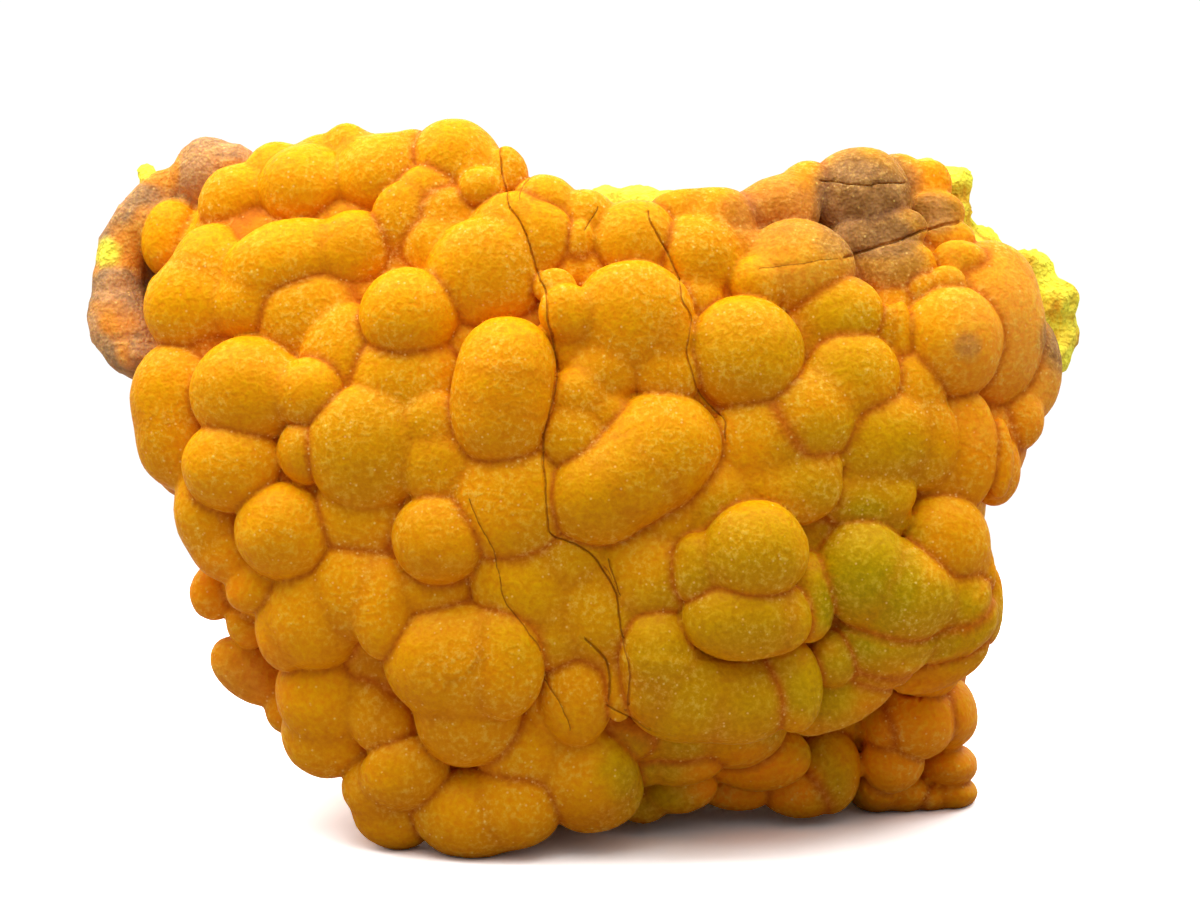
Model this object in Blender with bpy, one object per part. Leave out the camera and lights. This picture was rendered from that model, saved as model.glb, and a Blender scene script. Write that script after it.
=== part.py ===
"""Smithsonite: one specimen of grape-like crust on its rough yellow matrix.

The specimen grew as one piece, so it is one closed solid. Rounded lumps of crust cover the
front and turn round its edges, a core backs them, and coarse matrix lumps make the back.
Places are given as they are seen from the front, in millimetres: across from the left and
down from the top of a front view 120 mm wide and 90.8 mm high, and depth away from the viewer.
"""
import math
import random

import bmesh
import bpy
import numpy as np
from mathutils import Matrix, Vector

MM = 0.001

# The front view: its distance, how far it looks down, and its middle
VIEW_DISTANCE = 600.0
VIEW_LIFT = math.radians(13)
VIEW_MIDDLE = (60.0, 45.4)

# Where the specimen's own origin lies in the view's axes: under its middle, on the floor
ORIGIN = Vector((-1.5, 3.2, -37.3))

# The crust's face is a shallow dome: nearest at its middle, farther back towards the edge
DOME_MIDDLE = (58.0, 47.0)
DOME_HALF_SIZE = (47.0, 37.0)
DOME_NEAREST = -17.0
DOME_SAG = 12.0
DOME_POWER = 2.2

# How the lumps are made into one solid
BALL_DETAIL = 4
LUMP_GROWTH = 0.15
VOXEL = 0.8
TRIANGLE_SHARE = 0.092
WELD = 0.05
SOFTEN = 0.5
CUTTER_SIZE = 200.0

# How far the core's front lies under the crust's face
CORE_UNDER_FACE = 3.0

# The wrap of crust round the sides, behind the outline: rows of (depth, set in by)
RIM_ROWS = ((3.5, 0.6), (8.0, 1.4), (12.5, 2.4), (17.0, 4.0))
RIM_RADIUS = (3.0, 5.0)
RIM_SHIFT = 0.35
RIM_DEPTH_SHIFT = 1.5
RIM_FLATNESS = 0.9
RIM_SEED = 7

# The matrix at the back, and how its lumps and rubble vary
BACK_SHIFT = 2.0
BACK_WIDTHS = (0.85, 1.1)
BACK_HEIGHTS = (0.8, 1.0)
BACK_DEPTHS = (0.8, 1.15)
BACK_TURN = 40.0
BACK_SEED = 11
RUBBLE_PER_LUMP = 3
RUBBLE_RADIUS = (1.6, 3.6)
RUBBLE_REACH = (0.2, 0.8)
RUBBLE_HEIGHTS = (0.6, 1.0)
RUBBLE_FLATNESS = 0.8
RUBBLE_SINK = 0.45

# Crust lumps: (across, down, half width, half height, turn in degrees, proud of the dome)
CLUSTERS = (
    # Brown ear at the upper left
    ("ear", (
        (20.8, 17.2, 3.8, 3.8, 0, -3.0),
        (24.2, 16.4, 2.2, 2.4, 0, -3.6),
        (16.2, 19.2, 2.4, 2.4, 0, -4.6),
        (14.2, 22.0, 3.1, 2.9, 0, -4.5),
        (12.2, 25.0, 2.7, 3.0, 0, -5.0),
        (11.6, 28.2, 2.8, 2.8, 0, -5.0),
        (11.6, 31.4, 3.1, 3.0, 0, -5.0),
        (12.3, 33.5, 3.6, 2.8, 0, -5.0),
        (13.4, 35.8, 2.8, 2.3, 0, -5.0),
    )),
    # Orange lumps between the ear and the main mass
    ("ear_orange", (
        (17.2, 24.0, 3.0, 3.9, 0, -4.2),
        (16.3, 29.6, 1.8, 2.2, 0, -3.6),
    )),
    # Row along the upper left edge
    ("top_left_rim", (
        (27.5, 16.7, 2.7, 2.5, 0, -2.0),
        (23.7, 20.5, 3.9, 3.8, 0, -1.0),
        (32.0, 16.2, 2.6, 2.6, 0, -2.0),
        (30.5, 19.0, 4.2, 4.2, 0, 0.5),
        (34.7, 14.2, 1.9, 1.9, 0, -1.2),
        (36.6, 15.8, 2.4, 2.3, 0, -1.8),
        (38.5, 18.0, 4.5, 4.5, 0, 0.0),
        (41.5, 15.5, 2.4, 2.4, 0, -1.6),
    )),
    # Highest lump and its neighbours
    ("top_peak", (
        (45.5, 16.5, 4.8, 4.7, 0, 0.0),
        (48.2, 19.0, 2.3, 2.3, 0, 0.5),
        (51.0, 17.3, 1.8, 3.0, -10, -0.8),
    )),
    # Low stretch of the top edge
    ("top_saddle", (
        (54.3, 20.8, 3.4, 3.3, 0, -0.5),
        (58.5, 21.9, 2.9, 2.9, 0, -0.8),
        (58.0, 24.5, 1.4, 2.4, 0, -0.6),
        (63.5, 24.6, 4.8, 4.6, 0, 0.0),
    )),
    # Small lumps below the peak
    ("top_middle", (
        (45.0, 21.5, 2.4, 2.4, 0, -0.2),
        (43.0, 24.5, 2.4, 2.3, 0, -0.3),
        (51.0, 23.5, 3.5, 3.5, 0, 0.2),
        (49.0, 27.5, 5.0, 4.8, 0, 1.0),
        (53.8, 24.4, 3.2, 3.4, 0, 0.2),
    )),
    # Long swelling at the upper left
    ("long_top_left", (
        (29.0, 26.2, 6.2, 4.2, -8, 1.0),
        (21.5, 27.0, 4.4, 4.6, 0, 0.0),
        (20.2, 30.8, 5.7, 5.2, 0, 0.3),
        (25.2, 30.8, 3.7, 3.7, 0, 0.1),
        (35.6, 25.5, 4.2, 4.2, 0, 0.0),
    )),
    # Sunk lumps between the upper left swellings
    ("left_fill", (
        (32.4, 32.0, 4.5, 3.9, 0, -1.0),
        (35.0, 36.8, 3.6, 4.4, 0, -1.4),
        (40.5, 23.0, 2.6, 3.4, 0, -1.4),
        (43.0, 20.4, 2.8, 2.8, 0, -1.4),
    )),
    # Full round lump
    ("round_n", (
        (41.0, 31.5, 4.9, 4.7, 0, 2.0),
    )),
    # Tall double lump in the middle
    ("tall_p", (
        (50.8, 36.2, 4.6, 4.6, 0, 2.6),
        (50.0, 42.0, 4.8, 4.8, 0, 2.0),
    )),
    # Sunk lumps round the middle
    ("centre_fill", (
        (41.0, 38.5, 4.5, 4.3, 0, -1.0),
        (43.6, 42.6, 2.6, 2.4, 0, -0.8),
        (37.0, 44.8, 4.5, 4.6, 0, 0.4),
        (44.5, 46.8, 3.3, 3.0, 0, -0.6),
        (36.8, 51.2, 3.8, 3.6, 0, -1.6),
        (51.2, 50.0, 4.4, 4.6, 0, 0.2),
    )),
    # Full round lump below the middle
    ("round_s", (
        (44.0, 53.8, 4.7, 4.6, 0, 1.8),
    )),
    # Left edge
    ("left_edge", (
        (18.5, 39.5, 5.4, 5.6, 0, -0.2),
        (18.6, 43.5, 5.0, 5.6, 0, -0.8),
        (21.1, 51.2, 3.8, 4.8, 0, -0.5),
        (22.8, 55.0, 3.6, 3.2, 0, -0.8),
        (25.8, 58.6, 3.4, 2.6, -20, -0.6),
    )),
    # Large double lump at the left
    ("left_h", (
        (25.0, 39.3, 5.9, 5.5, 0, 2.0),
        (31.3, 39.5, 3.6, 3.6, 0, 1.2),
    )),
    # Pair below it
    ("left_i", (
        (23.3, 46.6, 4.9, 4.5, 0, 1.8),
        (30.8, 45.2, 3.0, 3.2, 0, 0.3),
    )),
    # Full round lump at the left
    ("left_m", (
        (28.5, 53.1, 5.1, 4.7, 0, 1.8),
    )),
    # Upper middle
    ("middle_x", (
        (63.5, 32.0, 5.0, 4.8, 0, 0.8),
        (55.5, 28.6, 1.8, 1.5, 0, -0.5),
        (56.8, 31.2, 2.4, 2.3, 0, 0.5),
        (66.8, 33.8, 2.2, 2.2, 0, 0.0),
        (66.8, 37.2, 2.8, 2.8, 0, -0.5),
        (60.5, 37.0, 3.0, 2.6, 0, -0.8),
        (57.8, 27.2, 2.4, 2.2, 0, -2.0),
        (57.2, 34.6, 3.2, 3.0, 0, -1.6),
        (57.8, 39.5, 2.4, 2.4, 0, -0.4),
        (57.3, 43.5, 2.8, 2.7, 0, -0.2),
    )),
    # Heart-shaped pair in the middle
    ("heart", (
        (66.2, 44.6, 5.8, 5.6, 0, 1.8),
        (59.8, 49.5, 5.0, 4.9, 0, 1.6),
    )),
    # Upper right
    ("top_right", (
        (70.0, 26.0, 4.2, 4.2, 0, 0.0),
        (71.5, 22.5, 4.0, 3.4, 0, -0.8),
        (74.2, 24.5, 1.6, 1.6, 0, -1.0),
        (68.4, 21.4, 3.4, 2.3, 0, -1.4),
        (69.8, 30.2, 2.6, 2.4, 0, -1.2),
        (79.7, 27.2, 5.0, 4.6, 0, 1.0),
        (76.0, 28.5, 2.5, 2.5, 0, 0.5),
    )),
    # Brown stained lumps along the upper right edge
    ("brown_top", (
        (78.3, 20.0, 3.5, 3.3, 0, -1.0),
        (74.5, 20.9, 2.4, 2.3, 0, -1.4),
        (85.8, 19.8, 5.2, 5.1, 0, 0.0),
        (89.6, 18.4, 3.4, 3.3, 0, -2.6),
        (87.0, 23.3, 3.6, 2.6, 0, -0.4),
        (93.0, 18.5, 2.0, 2.4, 0, -1.5),
        (93.5, 21.6, 2.6, 2.3, 0, -1.0),
        (94.4, 24.2, 3.0, 2.2, 0, -1.0),
        (88.5, 27.5, 3.8, 3.9, 0, 0.0),
    )),
    # Full round lump, upper right
    ("round_bb", (
        (74.6, 35.5, 5.6, 5.7, 0, 2.0),
    )),
    # Slanting pair, right of it
    ("pair_dd", (
        (85.0, 38.0, 4.4, 4.3, 0, 1.0),
        (80.2, 42.0, 4.6, 4.3, 0, 0.8),
    )),
    # Small lumps, right of the middle
    ("right_mid", (
        (83.8, 31.8, 3.6, 3.3, 0, 0.5),
        (80.7, 34.4, 2.2, 3.4, 0, -1.5),
        (89.2, 30.6, 2.0, 1.9, 0, -1.0),
        (88.5, 33.0, 1.5, 2.4, 0, -0.5),
        (89.9, 34.0, 1.2, 3.2, 0, -0.8),
        (90.4, 39.5, 3.2, 3.4, 0, -0.2),
        (87.4, 44.0, 4.7, 3.9, 0, 0.5),
        (91.8, 44.3, 3.2, 3.9, 0, 0.3),
        (93.8, 47.8, 2.5, 2.2, 0, -1.0),
        (96.2, 45.0, 2.8, 4.8, 0, 0.0),
        (86.2, 49.6, 4.4, 2.7, 0, -0.5),
        (88.0, 51.6, 2.6, 2.0, 0, -1.0),
    )),
    # Ball at the right edge
    ("right_ball", (
        (95.0, 34.3, 5.1, 5.4, 0, 2.8),
    )),
    # Shells round the ball
    ("right_shell", (
        (95.7, 26.6, 2.9, 2.8, 0, 0.2),
        (94.8, 28.5, 1.8, 1.7, 0, 0.2),
        (91.7, 29.2, 1.6, 1.5, 0, -0.4),
        (98.4, 33.6, 6.2, 8.2, 0, 1.2),
        (101.4, 37.0, 4.8, 6.2, 0, -0.4),
        (101.8, 42.2, 2.5, 3.1, 0, -1.0),
        (99.5, 46.8, 2.6, 3.6, 0, -1.0),
        (99.9, 45.8, 1.3, 3.8, 0, 0.2),
    )),
    # Sunk lumps below the middle
    ("middle_low_fill", (
        (76.2, 44.0, 3.8, 3.4, 0, -0.6),
        (77.5, 48.2, 3.6, 3.2, 0, -1.0),
        (71.5, 50.0, 3.6, 3.4, 0, -1.2),
        (81.6, 46.8, 1.8, 1.8, 0, -0.8),
        (68.0, 52.0, 3.2, 3.2, 0, -1.6),
        (52.6, 57.6, 3.9, 4.7, 0, -0.8),
        (54.4, 62.0, 3.9, 3.5, 0, -1.0),
        (57.0, 55.6, 2.8, 2.6, 0, -1.4),
        (59.8, 60.0, 3.8, 4.4, 0, -1.0),
        (60.0, 64.9, 1.7, 1.5, 0, -1.4),
        (61.8, 66.6, 1.5, 3.8, 0, -1.2),
        (62.5, 72.0, 2.6, 2.8, 0, -2.5),
        (64.8, 57.2, 3.7, 3.3, 0, -0.6),
    )),
    # Large greenish cluster that overhangs the base
    ("green_cluster", (
        (75.6, 55.3, 5.3, 5.3, 0, 4.2),
        (76.6, 60.0, 5.6, 4.8, 0, 3.2),
        (70.5, 57.6, 2.8, 4.2, 0, 1.0),
        (66.8, 64.2, 4.4, 4.7, 0, 2.2),
        (72.6, 62.2, 6.0, 4.8, 0, 2.8),
        (68.0, 69.9, 5.2, 4.5, 0, 2.2),
        (75.8, 68.8, 6.0, 5.0, 0, 2.6),
    )),
    # Lumps at its right side
    ("green_side", (
        (80.7, 59.5, 3.0, 4.7, 0, 1.0),
        (82.8, 68.5, 4.2, 3.8, 0, 0.2),
        (86.6, 70.0, 3.4, 3.4, 0, -1.6),
    )),
    # Greenish cluster at the lower right
    ("right_cluster", (
        (86.4, 57.2, 4.3, 5.4, 0, 2.0),
        (91.2, 58.2, 5.8, 5.8, 0, 2.8),
        (94.0, 54.6, 4.6, 4.9, 0, 1.5),
        (97.2, 60.4, 3.1, 4.2, 0, 0.3),
        (91.0, 62.4, 6.9, 3.7, 10, 2.2),
        (95.6, 63.4, 3.0, 2.8, 0, 0.0),
        (93.6, 65.6, 3.4, 3.3, 0, -0.5),
        (87.6, 65.0, 3.9, 3.7, 0, 1.0),
    )),
    # Orange foot at the lower right
    ("foot", (
        (89.2, 74.2, 3.5, 4.0, 0, -8.6),
        (88.6, 78.8, 3.9, 2.7, 0, -8.6),
        (91.2, 70.5, 2.0, 1.8, 0, -8.0),
        (94.7, 71.6, 2.9, 3.6, 0, -8.6),
        (94.6, 77.2, 2.9, 3.1, 0, -8.6),
        (93.0, 80.2, 1.5, 1.2, 0, -8.6),
        (95.0, 79.0, 2.0, 2.0, 0, -8.6),
    )),
    # Recessed row between the two feet
    ("base_row", (
        (66.8, 74.8, 4.8, 3.2, 0, -2.5),
        (70.6, 76.6, 2.5, 2.5, 0, -4.0),
        (68.0, 78.2, 3.2, 2.7, 0, -5.0),
        (64.4, 79.9, 2.3, 1.8, 0, -6.0),
        (72.8, 76.4, 4.2, 4.0, 0, -6.6),
        (73.6, 79.0, 3.4, 2.0, 0, -8.0),
        (80.0, 78.6, 3.8, 2.8, 0, -7.6),
        (81.5, 77.0, 4.3, 4.2, 0, -7.0),
    )),
    # Lower left
    ("left_low", (
        (28.8, 62.2, 2.8, 4.2, 0, -0.6),
        (31.8, 61.0, 4.4, 5.0, 0, 0.2),
        (36.0, 58.6, 4.0, 4.4, 0, -0.2),
        (38.4, 60.8, 2.6, 4.4, 0, 0.5),
        (43.6, 59.0, 3.4, 2.6, 0, -0.8),
    )),
    # Lower left, second row
    ("left_low_2", (
        (32.6, 69.2, 4.5, 4.8, 0, 0.0),
        (33.0, 73.4, 4.3, 4.0, 0, -0.3),
        (37.2, 70.6, 2.4, 4.0, 0, -0.4),
        (39.0, 72.3, 2.2, 2.4, 0, 0.0),
    )),
    # Large triple lump, lower left
    ("big_low_left", (
        (43.8, 65.6, 5.6, 5.8, 0, 2.0),
        (50.0, 66.0, 4.6, 6.4, 0, 2.6),
        (46.9, 71.9, 5.3, 4.9, 0, 2.3),
    )),
    # Round lumps at the lower left edge
    ("low_round", (
        (40.5, 77.0, 4.4, 3.7, -8, 3.2),
        (38.3, 78.5, 4.0, 3.4, 0, 2.0),
        (39.6, 81.0, 4.1, 3.7, 0, 2.4),
    )),
    # Bulge that the specimen rests on at the front
    ("bottom_bulge", (
        (47.2, 81.2, 5.9, 4.5, 0, 4.2),
        (51.8, 80.2, 4.6, 4.4, 0, 4.0),
    )),
    # Lumps beside the bulge
    ("low_middle", (
        (52.6, 74.8, 4.5, 4.6, 0, 1.0),
        (55.2, 70.6, 2.4, 3.8, 0, -0.8),
        (57.7, 69.2, 3.2, 4.6, 0, 0.8),
        (58.6, 77.0, 4.6, 4.6, 0, 2.2),
        (59.2, 78.8, 4.5, 3.9, 0, 1.7),
    )),
    # Orange and brown lumps set back at the lower left
    ("left_back", (
        (21.4, 59.2, 2.4, 2.9, 0, -5.0),
        (24.8, 62.4, 2.2, 2.6, 0, -4.5),
        (25.0, 67.2, 4.2, 2.8, 37, -5.0),
        (28.9, 70.9, 2.2, 2.6, 0, -5.0),
        (31.8, 73.4, 2.9, 2.8, 0, -5.0),
    )),
)

# Yellow matrix that shows past the crust: (across, down, half width, half height,
# half depth, depth of the middle)
MATRIX_EDGE = (
    (15.2, 17.9, 1.9, 1.7, 3.0, 9.0),
    (60.6, 21.4, 3.0, 3.0, 4.0, 5.0),
    (64.2, 21.4, 3.2, 3.2, 4.5, 6.0),
    (68.0, 21.6, 3.2, 3.1, 4.5, 6.0),
    (92.2, 18.0, 2.7, 2.7, 4.0, 5.0),
    (95.4, 18.6, 2.6, 2.6, 4.0, 6.0),
    (96.0, 21.2, 2.3, 2.6, 4.0, 5.0),
    (96.5, 25.0, 3.6, 2.6, 5.0, 4.0),
    (99.6, 27.4, 4.0, 3.7, 5.0, 5.0),
    (103.0, 27.2, 2.7, 3.2, 3.2, 6.5),
    (105.5, 30.4, 2.8, 3.2, 3.0, 5.4),
    (106.2, 33.6, 2.3, 3.0, 2.6, 5.8),
    (105.5, 35.8, 2.1, 2.6, 3.0, 4.6),
)

# Core that backs the crust: (across, down, radius, depth of the back)
CORE = (
    (26, 27, 9.0, 14), (36, 26, 9.5, 15), (47, 25, 9.5, 15), (58, 30, 9.5, 17),
    (69, 31, 9.5, 17), (80, 30, 9.5, 16), (90, 29, 8.5, 14), (97, 34, 7.5, 12),
    (24, 38, 9.0, 15), (35, 37, 10.0, 17), (46, 37, 10.0, 18), (57, 38, 10.0, 19),
    (68, 39, 10.0, 19), (79, 39, 10.0, 18), (89, 40, 9.5, 16), (96, 42, 6.5, 12),
    (26, 48, 8.5, 15), (36, 48, 10.0, 18), (47, 48, 10.0, 19), (58, 49, 10.0, 20),
    (69, 50, 10.0, 20), (80, 50, 10.0, 18), (91, 50, 8.0, 15),
    (29, 57, 8.0, 15), (38, 58, 9.5, 18), (49, 58, 10.0, 20), (60, 59, 10.0, 20),
    (71, 60, 10.0, 20), (82, 60, 10.0, 19), (90, 60, 8.5, 16),
    (36, 67, 8.0, 16), (45, 68, 9.5, 19), (56, 68, 9.5, 20), (67, 67, 9.0, 20),
    (45, 75, 7.5, 16), (54, 74, 7.0, 19),
)

# Core behind the recessed base row: (across, down, radius, front depth, back depth)
BASE_CORE = (
    (66, 73, 5.5, 0, 18), (74, 72, 5.5, 1, 20), (82, 72, 6.0, 2, 20), (90, 73, 6.0, 6, 19),
    (92, 67, 6.0, 2, 16),
)

# Coarse matrix of the back: (across, down, half width, half height, half depth, depth)
BACK = (
    (24, 28, 7.5, 7.0, 8.0, 9.0), (34, 26, 7.5, 7.0, 8.5, 10.0), (46, 26, 8.0, 7.5, 8.0, 11.5),
    (58, 30, 8.0, 7.0, 8.5, 12.5), (70, 31, 8.0, 7.5, 8.0, 14.0), (82, 30, 8.0, 7.5, 8.5, 11.5),
    (93, 31, 7.0, 6.5, 7.0, 10.0),
    (23, 39, 7.5, 7.0, 8.0, 10.0), (34, 38, 8.5, 8.0, 8.0, 13.5), (46, 39, 8.5, 8.0, 9.0, 13.0),
    (58, 41, 8.5, 8.0, 8.5, 15.5), (70, 42, 8.5, 8.0, 9.0, 14.0), (82, 41, 8.5, 8.0, 8.0, 14.0),
    (94, 42, 7.0, 7.0, 7.5, 10.0),
    (27, 50, 7.5, 7.0, 7.5, 11.5), (38, 50, 8.5, 8.0, 8.5, 14.5), (50, 51, 8.5, 8.0, 8.5, 16.5),
    (62, 52, 8.5, 8.0, 9.0, 15.0), (74, 53, 8.5, 8.0, 8.5, 15.5), (86, 52, 8.0, 7.5, 8.0, 12.5),
    (32, 60, 7.0, 7.0, 8.0, 12.0), (43, 61, 8.5, 8.0, 8.5, 15.5), (55, 62, 8.5, 8.0, 9.0, 17.0),
    (67, 62, 8.5, 8.0, 8.5, 17.5), (79, 63, 8.5, 8.0, 8.0, 15.5), (89, 62, 7.5, 7.5, 7.5, 13.0),
    (40, 69, 7.0, 7.0, 8.0, 15.5), (68, 70, 7.5, 7.5, 8.0, 17.0), (79, 72, 7.0, 6.5, 7.5, 16.5),
    (88, 73, 6.5, 6.0, 7.0, 15.0),
)

# Back foot, the third place that the specimen rests on, in the same order as the back
BACK_FOOT = (
    (46, 71.6, 7.5, 8.0, 8.0, 17.5), (57, 71.9, 7.5, 8.0, 8.0, 17.0),
)

# Back of the ear, in the same order as the back
EAR_BACK = (
    (18.5, 21, 3.6, 3.6, 3.6, 9.0), (15.5, 26, 3.4, 4.2, 3.4, 9.5), (15.0, 32, 3.6, 4.0, 3.4, 9.0),
    (18.5, 30, 4.0, 4.5, 4.5, 7.5),
)

# Matrix behind the bright lumps at the upper right, in the same order
RIGHT_BACK = (
    (99.5, 32, 6.5, 5.5, 6.0, 8.0), (97.5, 24.5, 3.4, 3.2, 5.0, 9.0),
)

# Path that the wrap of crust follows, set in from the outline: (across, down),
# from the foot up the right side, over the top and down the left side to the bulge
RIM = (
    (90, 76), (93, 71), (93, 64), (95, 57), (94, 50), (98, 43), (100, 37), (99, 32), (93, 25),
    (87, 20.5), (79, 22), (72, 24), (65, 26), (57, 24), (50, 20.5), (45, 17.5), (38, 18.5),
    (31, 19.5), (25, 21), (20, 27), (18, 33), (18, 38), (19, 44), (21, 51), (25, 57), (29, 63),
    (32, 70), (38, 77), (44, 80), (51, 79), (58, 77),
)


def remove_everything():
    for thing in list(bpy.data.objects):
        bpy.data.objects.remove(thing, do_unlink=True)


def dome_depth(across, down):
    """Depth of the crust's face at a place of the front view."""
    out_across = (across - DOME_MIDDLE[0]) / DOME_HALF_SIZE[0]
    out_down = (down - DOME_MIDDLE[1]) / DOME_HALF_SIZE[1]
    return DOME_NEAREST + DOME_SAG * math.hypot(out_across, out_down) ** DOME_POWER


def view_axes():
    """The view's axes as columns: across, down and away from the viewer."""
    lift_sin = math.sin(VIEW_LIFT)
    lift_cos = math.cos(VIEW_LIFT)
    across = Vector((1, 0, 0))
    down = Vector((0, -lift_sin, -lift_cos))
    away = Vector((0, lift_cos, -lift_sin))
    return Matrix((across, down, away)).transposed()


def lump_matrix(across, down, depth, half_sizes, turn=0.0):
    """Places and stretches a unit ball so that it is seen at this place and size."""
    spread = (VIEW_DISTANCE + depth) / VIEW_DISTANCE
    axes = view_axes()
    seen = Vector(((across - VIEW_MIDDLE[0]) * spread, (down - VIEW_MIDDLE[1]) * spread, depth))
    place = (axes @ seen - ORIGIN) * MM
    turned = axes @ Matrix.Rotation(math.radians(turn), 3, "Z")
    sizes = Matrix.Diagonal([(half + LUMP_GROWTH) * spread * MM for half in half_sizes])
    return Matrix.Translation(place) @ (turned @ sizes).to_4x4()


def crust_lumps():
    for _, lumps in CLUSTERS:
        for across, down, half_width, half_height, turn, proud in lumps:
            half_depth = min(half_width, half_height)
            depth = dome_depth(across, down) + half_depth - proud
            yield lump_matrix(across, down, depth, (half_width, half_height, half_depth), turn)


def block_lumps(rows):
    for across, down, half_width, half_height, half_depth, depth in rows:
        yield lump_matrix(across, down, depth, (half_width, half_height, half_depth))


def core_lumps():
    """Long lumps that run from just under the crust's face to the matrix."""
    for across, down, radius, back in CORE:
        front = dome_depth(across, down) + CORE_UNDER_FACE
        depth = (front + back) / 2
        yield lump_matrix(across, down, depth, (radius, radius, (back - front) / 2))
    for across, down, radius, front, back in BASE_CORE:
        depth = (front + back) / 2
        yield lump_matrix(across, down, depth, (radius, radius, (back - front) / 2))


def along_rim(step):
    """Place on the rim's path, by a count of points that need not be whole."""
    first = min(max(int(step), 0), len(RIM) - 2)
    part = step - first
    across = RIM[first][0] * (1 - part) + RIM[first + 1][0] * part
    down = RIM[first][1] * (1 - part) + RIM[first + 1][1] * part
    return across, down


def rim_lumps():
    """Rows of smaller lumps that carry the crust round the sides, out of the front's sight."""
    chance = random.Random(RIM_SEED)
    for row, (depth, inset) in enumerate(RIM_ROWS):
        for count in range(len(RIM) - row % 2):
            shift = chance.uniform(-RIM_SHIFT, RIM_SHIFT)
            across, down = along_rim(count + row % 2 / 2 + shift)
            radius = chance.uniform(*RIM_RADIUS)
            pull = inset / math.hypot(across - DOME_MIDDLE[0], down - DOME_MIDDLE[1])
            across += (DOME_MIDDLE[0] - across) * pull
            down += (DOME_MIDDLE[1] - down) * pull
            here = depth + chance.uniform(-RIM_DEPTH_SHIFT, RIM_DEPTH_SHIFT)
            yield lump_matrix(across, down, here, (radius, radius, radius * RIM_FLATNESS))


def back_lumps():
    """Coarse lumps of matrix, no two alike, with small rubble stuck to them."""
    chance = random.Random(BACK_SEED)
    for across, down, half_width, half_height, half_depth, depth in BACK:
        across += chance.uniform(-BACK_SHIFT, BACK_SHIFT)
        down += chance.uniform(-BACK_SHIFT, BACK_SHIFT)
        wide = half_width * chance.uniform(*BACK_WIDTHS)
        high = half_height * chance.uniform(*BACK_HEIGHTS)
        deep = half_depth * chance.uniform(*BACK_DEPTHS)
        turn = chance.uniform(-BACK_TURN, BACK_TURN)
        yield lump_matrix(across, down, depth, (wide, high, deep), turn)
        for _ in range(RUBBLE_PER_LUMP):
            reach = chance.uniform(*RUBBLE_REACH)
            bearing = chance.uniform(0, 2 * math.pi)
            radius = chance.uniform(*RUBBLE_RADIUS)
            rubble_across = across + wide * reach * math.cos(bearing)
            rubble_down = down + high * reach * math.sin(bearing)
            rubble_depth = depth + deep * math.sqrt(1 - reach ** 2) - RUBBLE_SINK * radius
            sizes = (radius, radius * chance.uniform(*RUBBLE_HEIGHTS), radius * RUBBLE_FLATNESS)
            spin = chance.uniform(0, 180)
            yield lump_matrix(rubble_across, rubble_down, rubble_depth, sizes, spin)


def unit_ball():
    """Points and triangles of a ball of radius 1."""
    shape = bmesh.new()
    bmesh.ops.create_icosphere(shape, subdivisions=BALL_DETAIL, radius=1.0)
    points = np.array([point.co for point in shape.verts])
    faces = np.array([[corner.index for corner in face.verts] for face in shape.faces])
    shape.free()
    return points, faces


def lumps_mesh(matrices):
    """All lumps as one mesh of overlapping balls."""
    ball_points, ball_faces = unit_ball()
    points = []
    faces = []
    for count, matrix in enumerate(matrices):
        stretch = np.array(matrix.to_3x3())
        points.append(ball_points @ stretch.T + np.array(matrix.translation))
        faces.append(ball_faces + count * len(ball_points))
    mesh = bpy.data.meshes.new("smithsonite")
    mesh.from_pydata(np.concatenate(points).tolist(), [], np.concatenate(faces).tolist())
    return mesh


def floor_cutter():
    """A block below the floor, which leaves the small faces that the specimen rests on."""
    shape = bmesh.new()
    bmesh.ops.create_cube(shape, size=CUTTER_SIZE * MM)
    mesh = bpy.data.meshes.new("floor_cutter")
    shape.to_mesh(mesh)
    shape.free()
    mesh.transform(Matrix.Translation((0, 0, -CUTTER_SIZE / 2 * MM)))
    cutter = bpy.data.objects.new("floor_cutter", mesh)
    cutter.hide_render = True
    cutter.display_type = "WIRE"
    bpy.context.collection.objects.link(cutter)
    return cutter


def amber_stone():
    """Waxy orange-yellow stone."""
    material = bpy.data.materials.new("smithsonite")
    material.use_nodes = True
    surface = material.node_tree.nodes["Principled BSDF"]
    surface.inputs["Base Color"].default_value = (0.62, 0.30, 0.02, 1)
    surface.inputs["Roughness"].default_value = 0.42
    surface.inputs["Metallic"].default_value = 0.0
    return material


def fuse(rock, cutter):
    """Fuses the overlapping lumps, thins the mesh and cuts the faces that it rests on."""
    remesh = rock.modifiers.new("fuse", "REMESH")
    remesh.mode = "VOXEL"
    remesh.voxel_size = VOXEL * MM
    remesh.use_smooth_shade = True
    soften = rock.modifiers.new("soften", "SMOOTH")
    soften.factor = SOFTEN
    soften.iterations = 1
    thin = rock.modifiers.new("thin", "DECIMATE")
    thin.ratio = TRIANGLE_SHARE
    rest = rock.modifiers.new("rest", "BOOLEAN")
    rest.operation = "DIFFERENCE"
    rest.solver = "EXACT"
    rest.object = cutter
    tidy = rock.modifiers.new("tidy", "WELD")
    tidy.merge_threshold = WELD * MM


def build():
    remove_everything()
    matrices = []
    for lumps in (crust_lumps(), core_lumps(), rim_lumps(), back_lumps(),
                  block_lumps(MATRIX_EDGE + BACK_FOOT + EAR_BACK + RIGHT_BACK)):
        matrices.extend(lumps)
    rock = bpy.data.objects.new("smithsonite", lumps_mesh(matrices))
    rock.data.materials.append(amber_stone())
    bpy.context.collection.objects.link(rock)
    fuse(rock, floor_cutter())


build()
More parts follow.
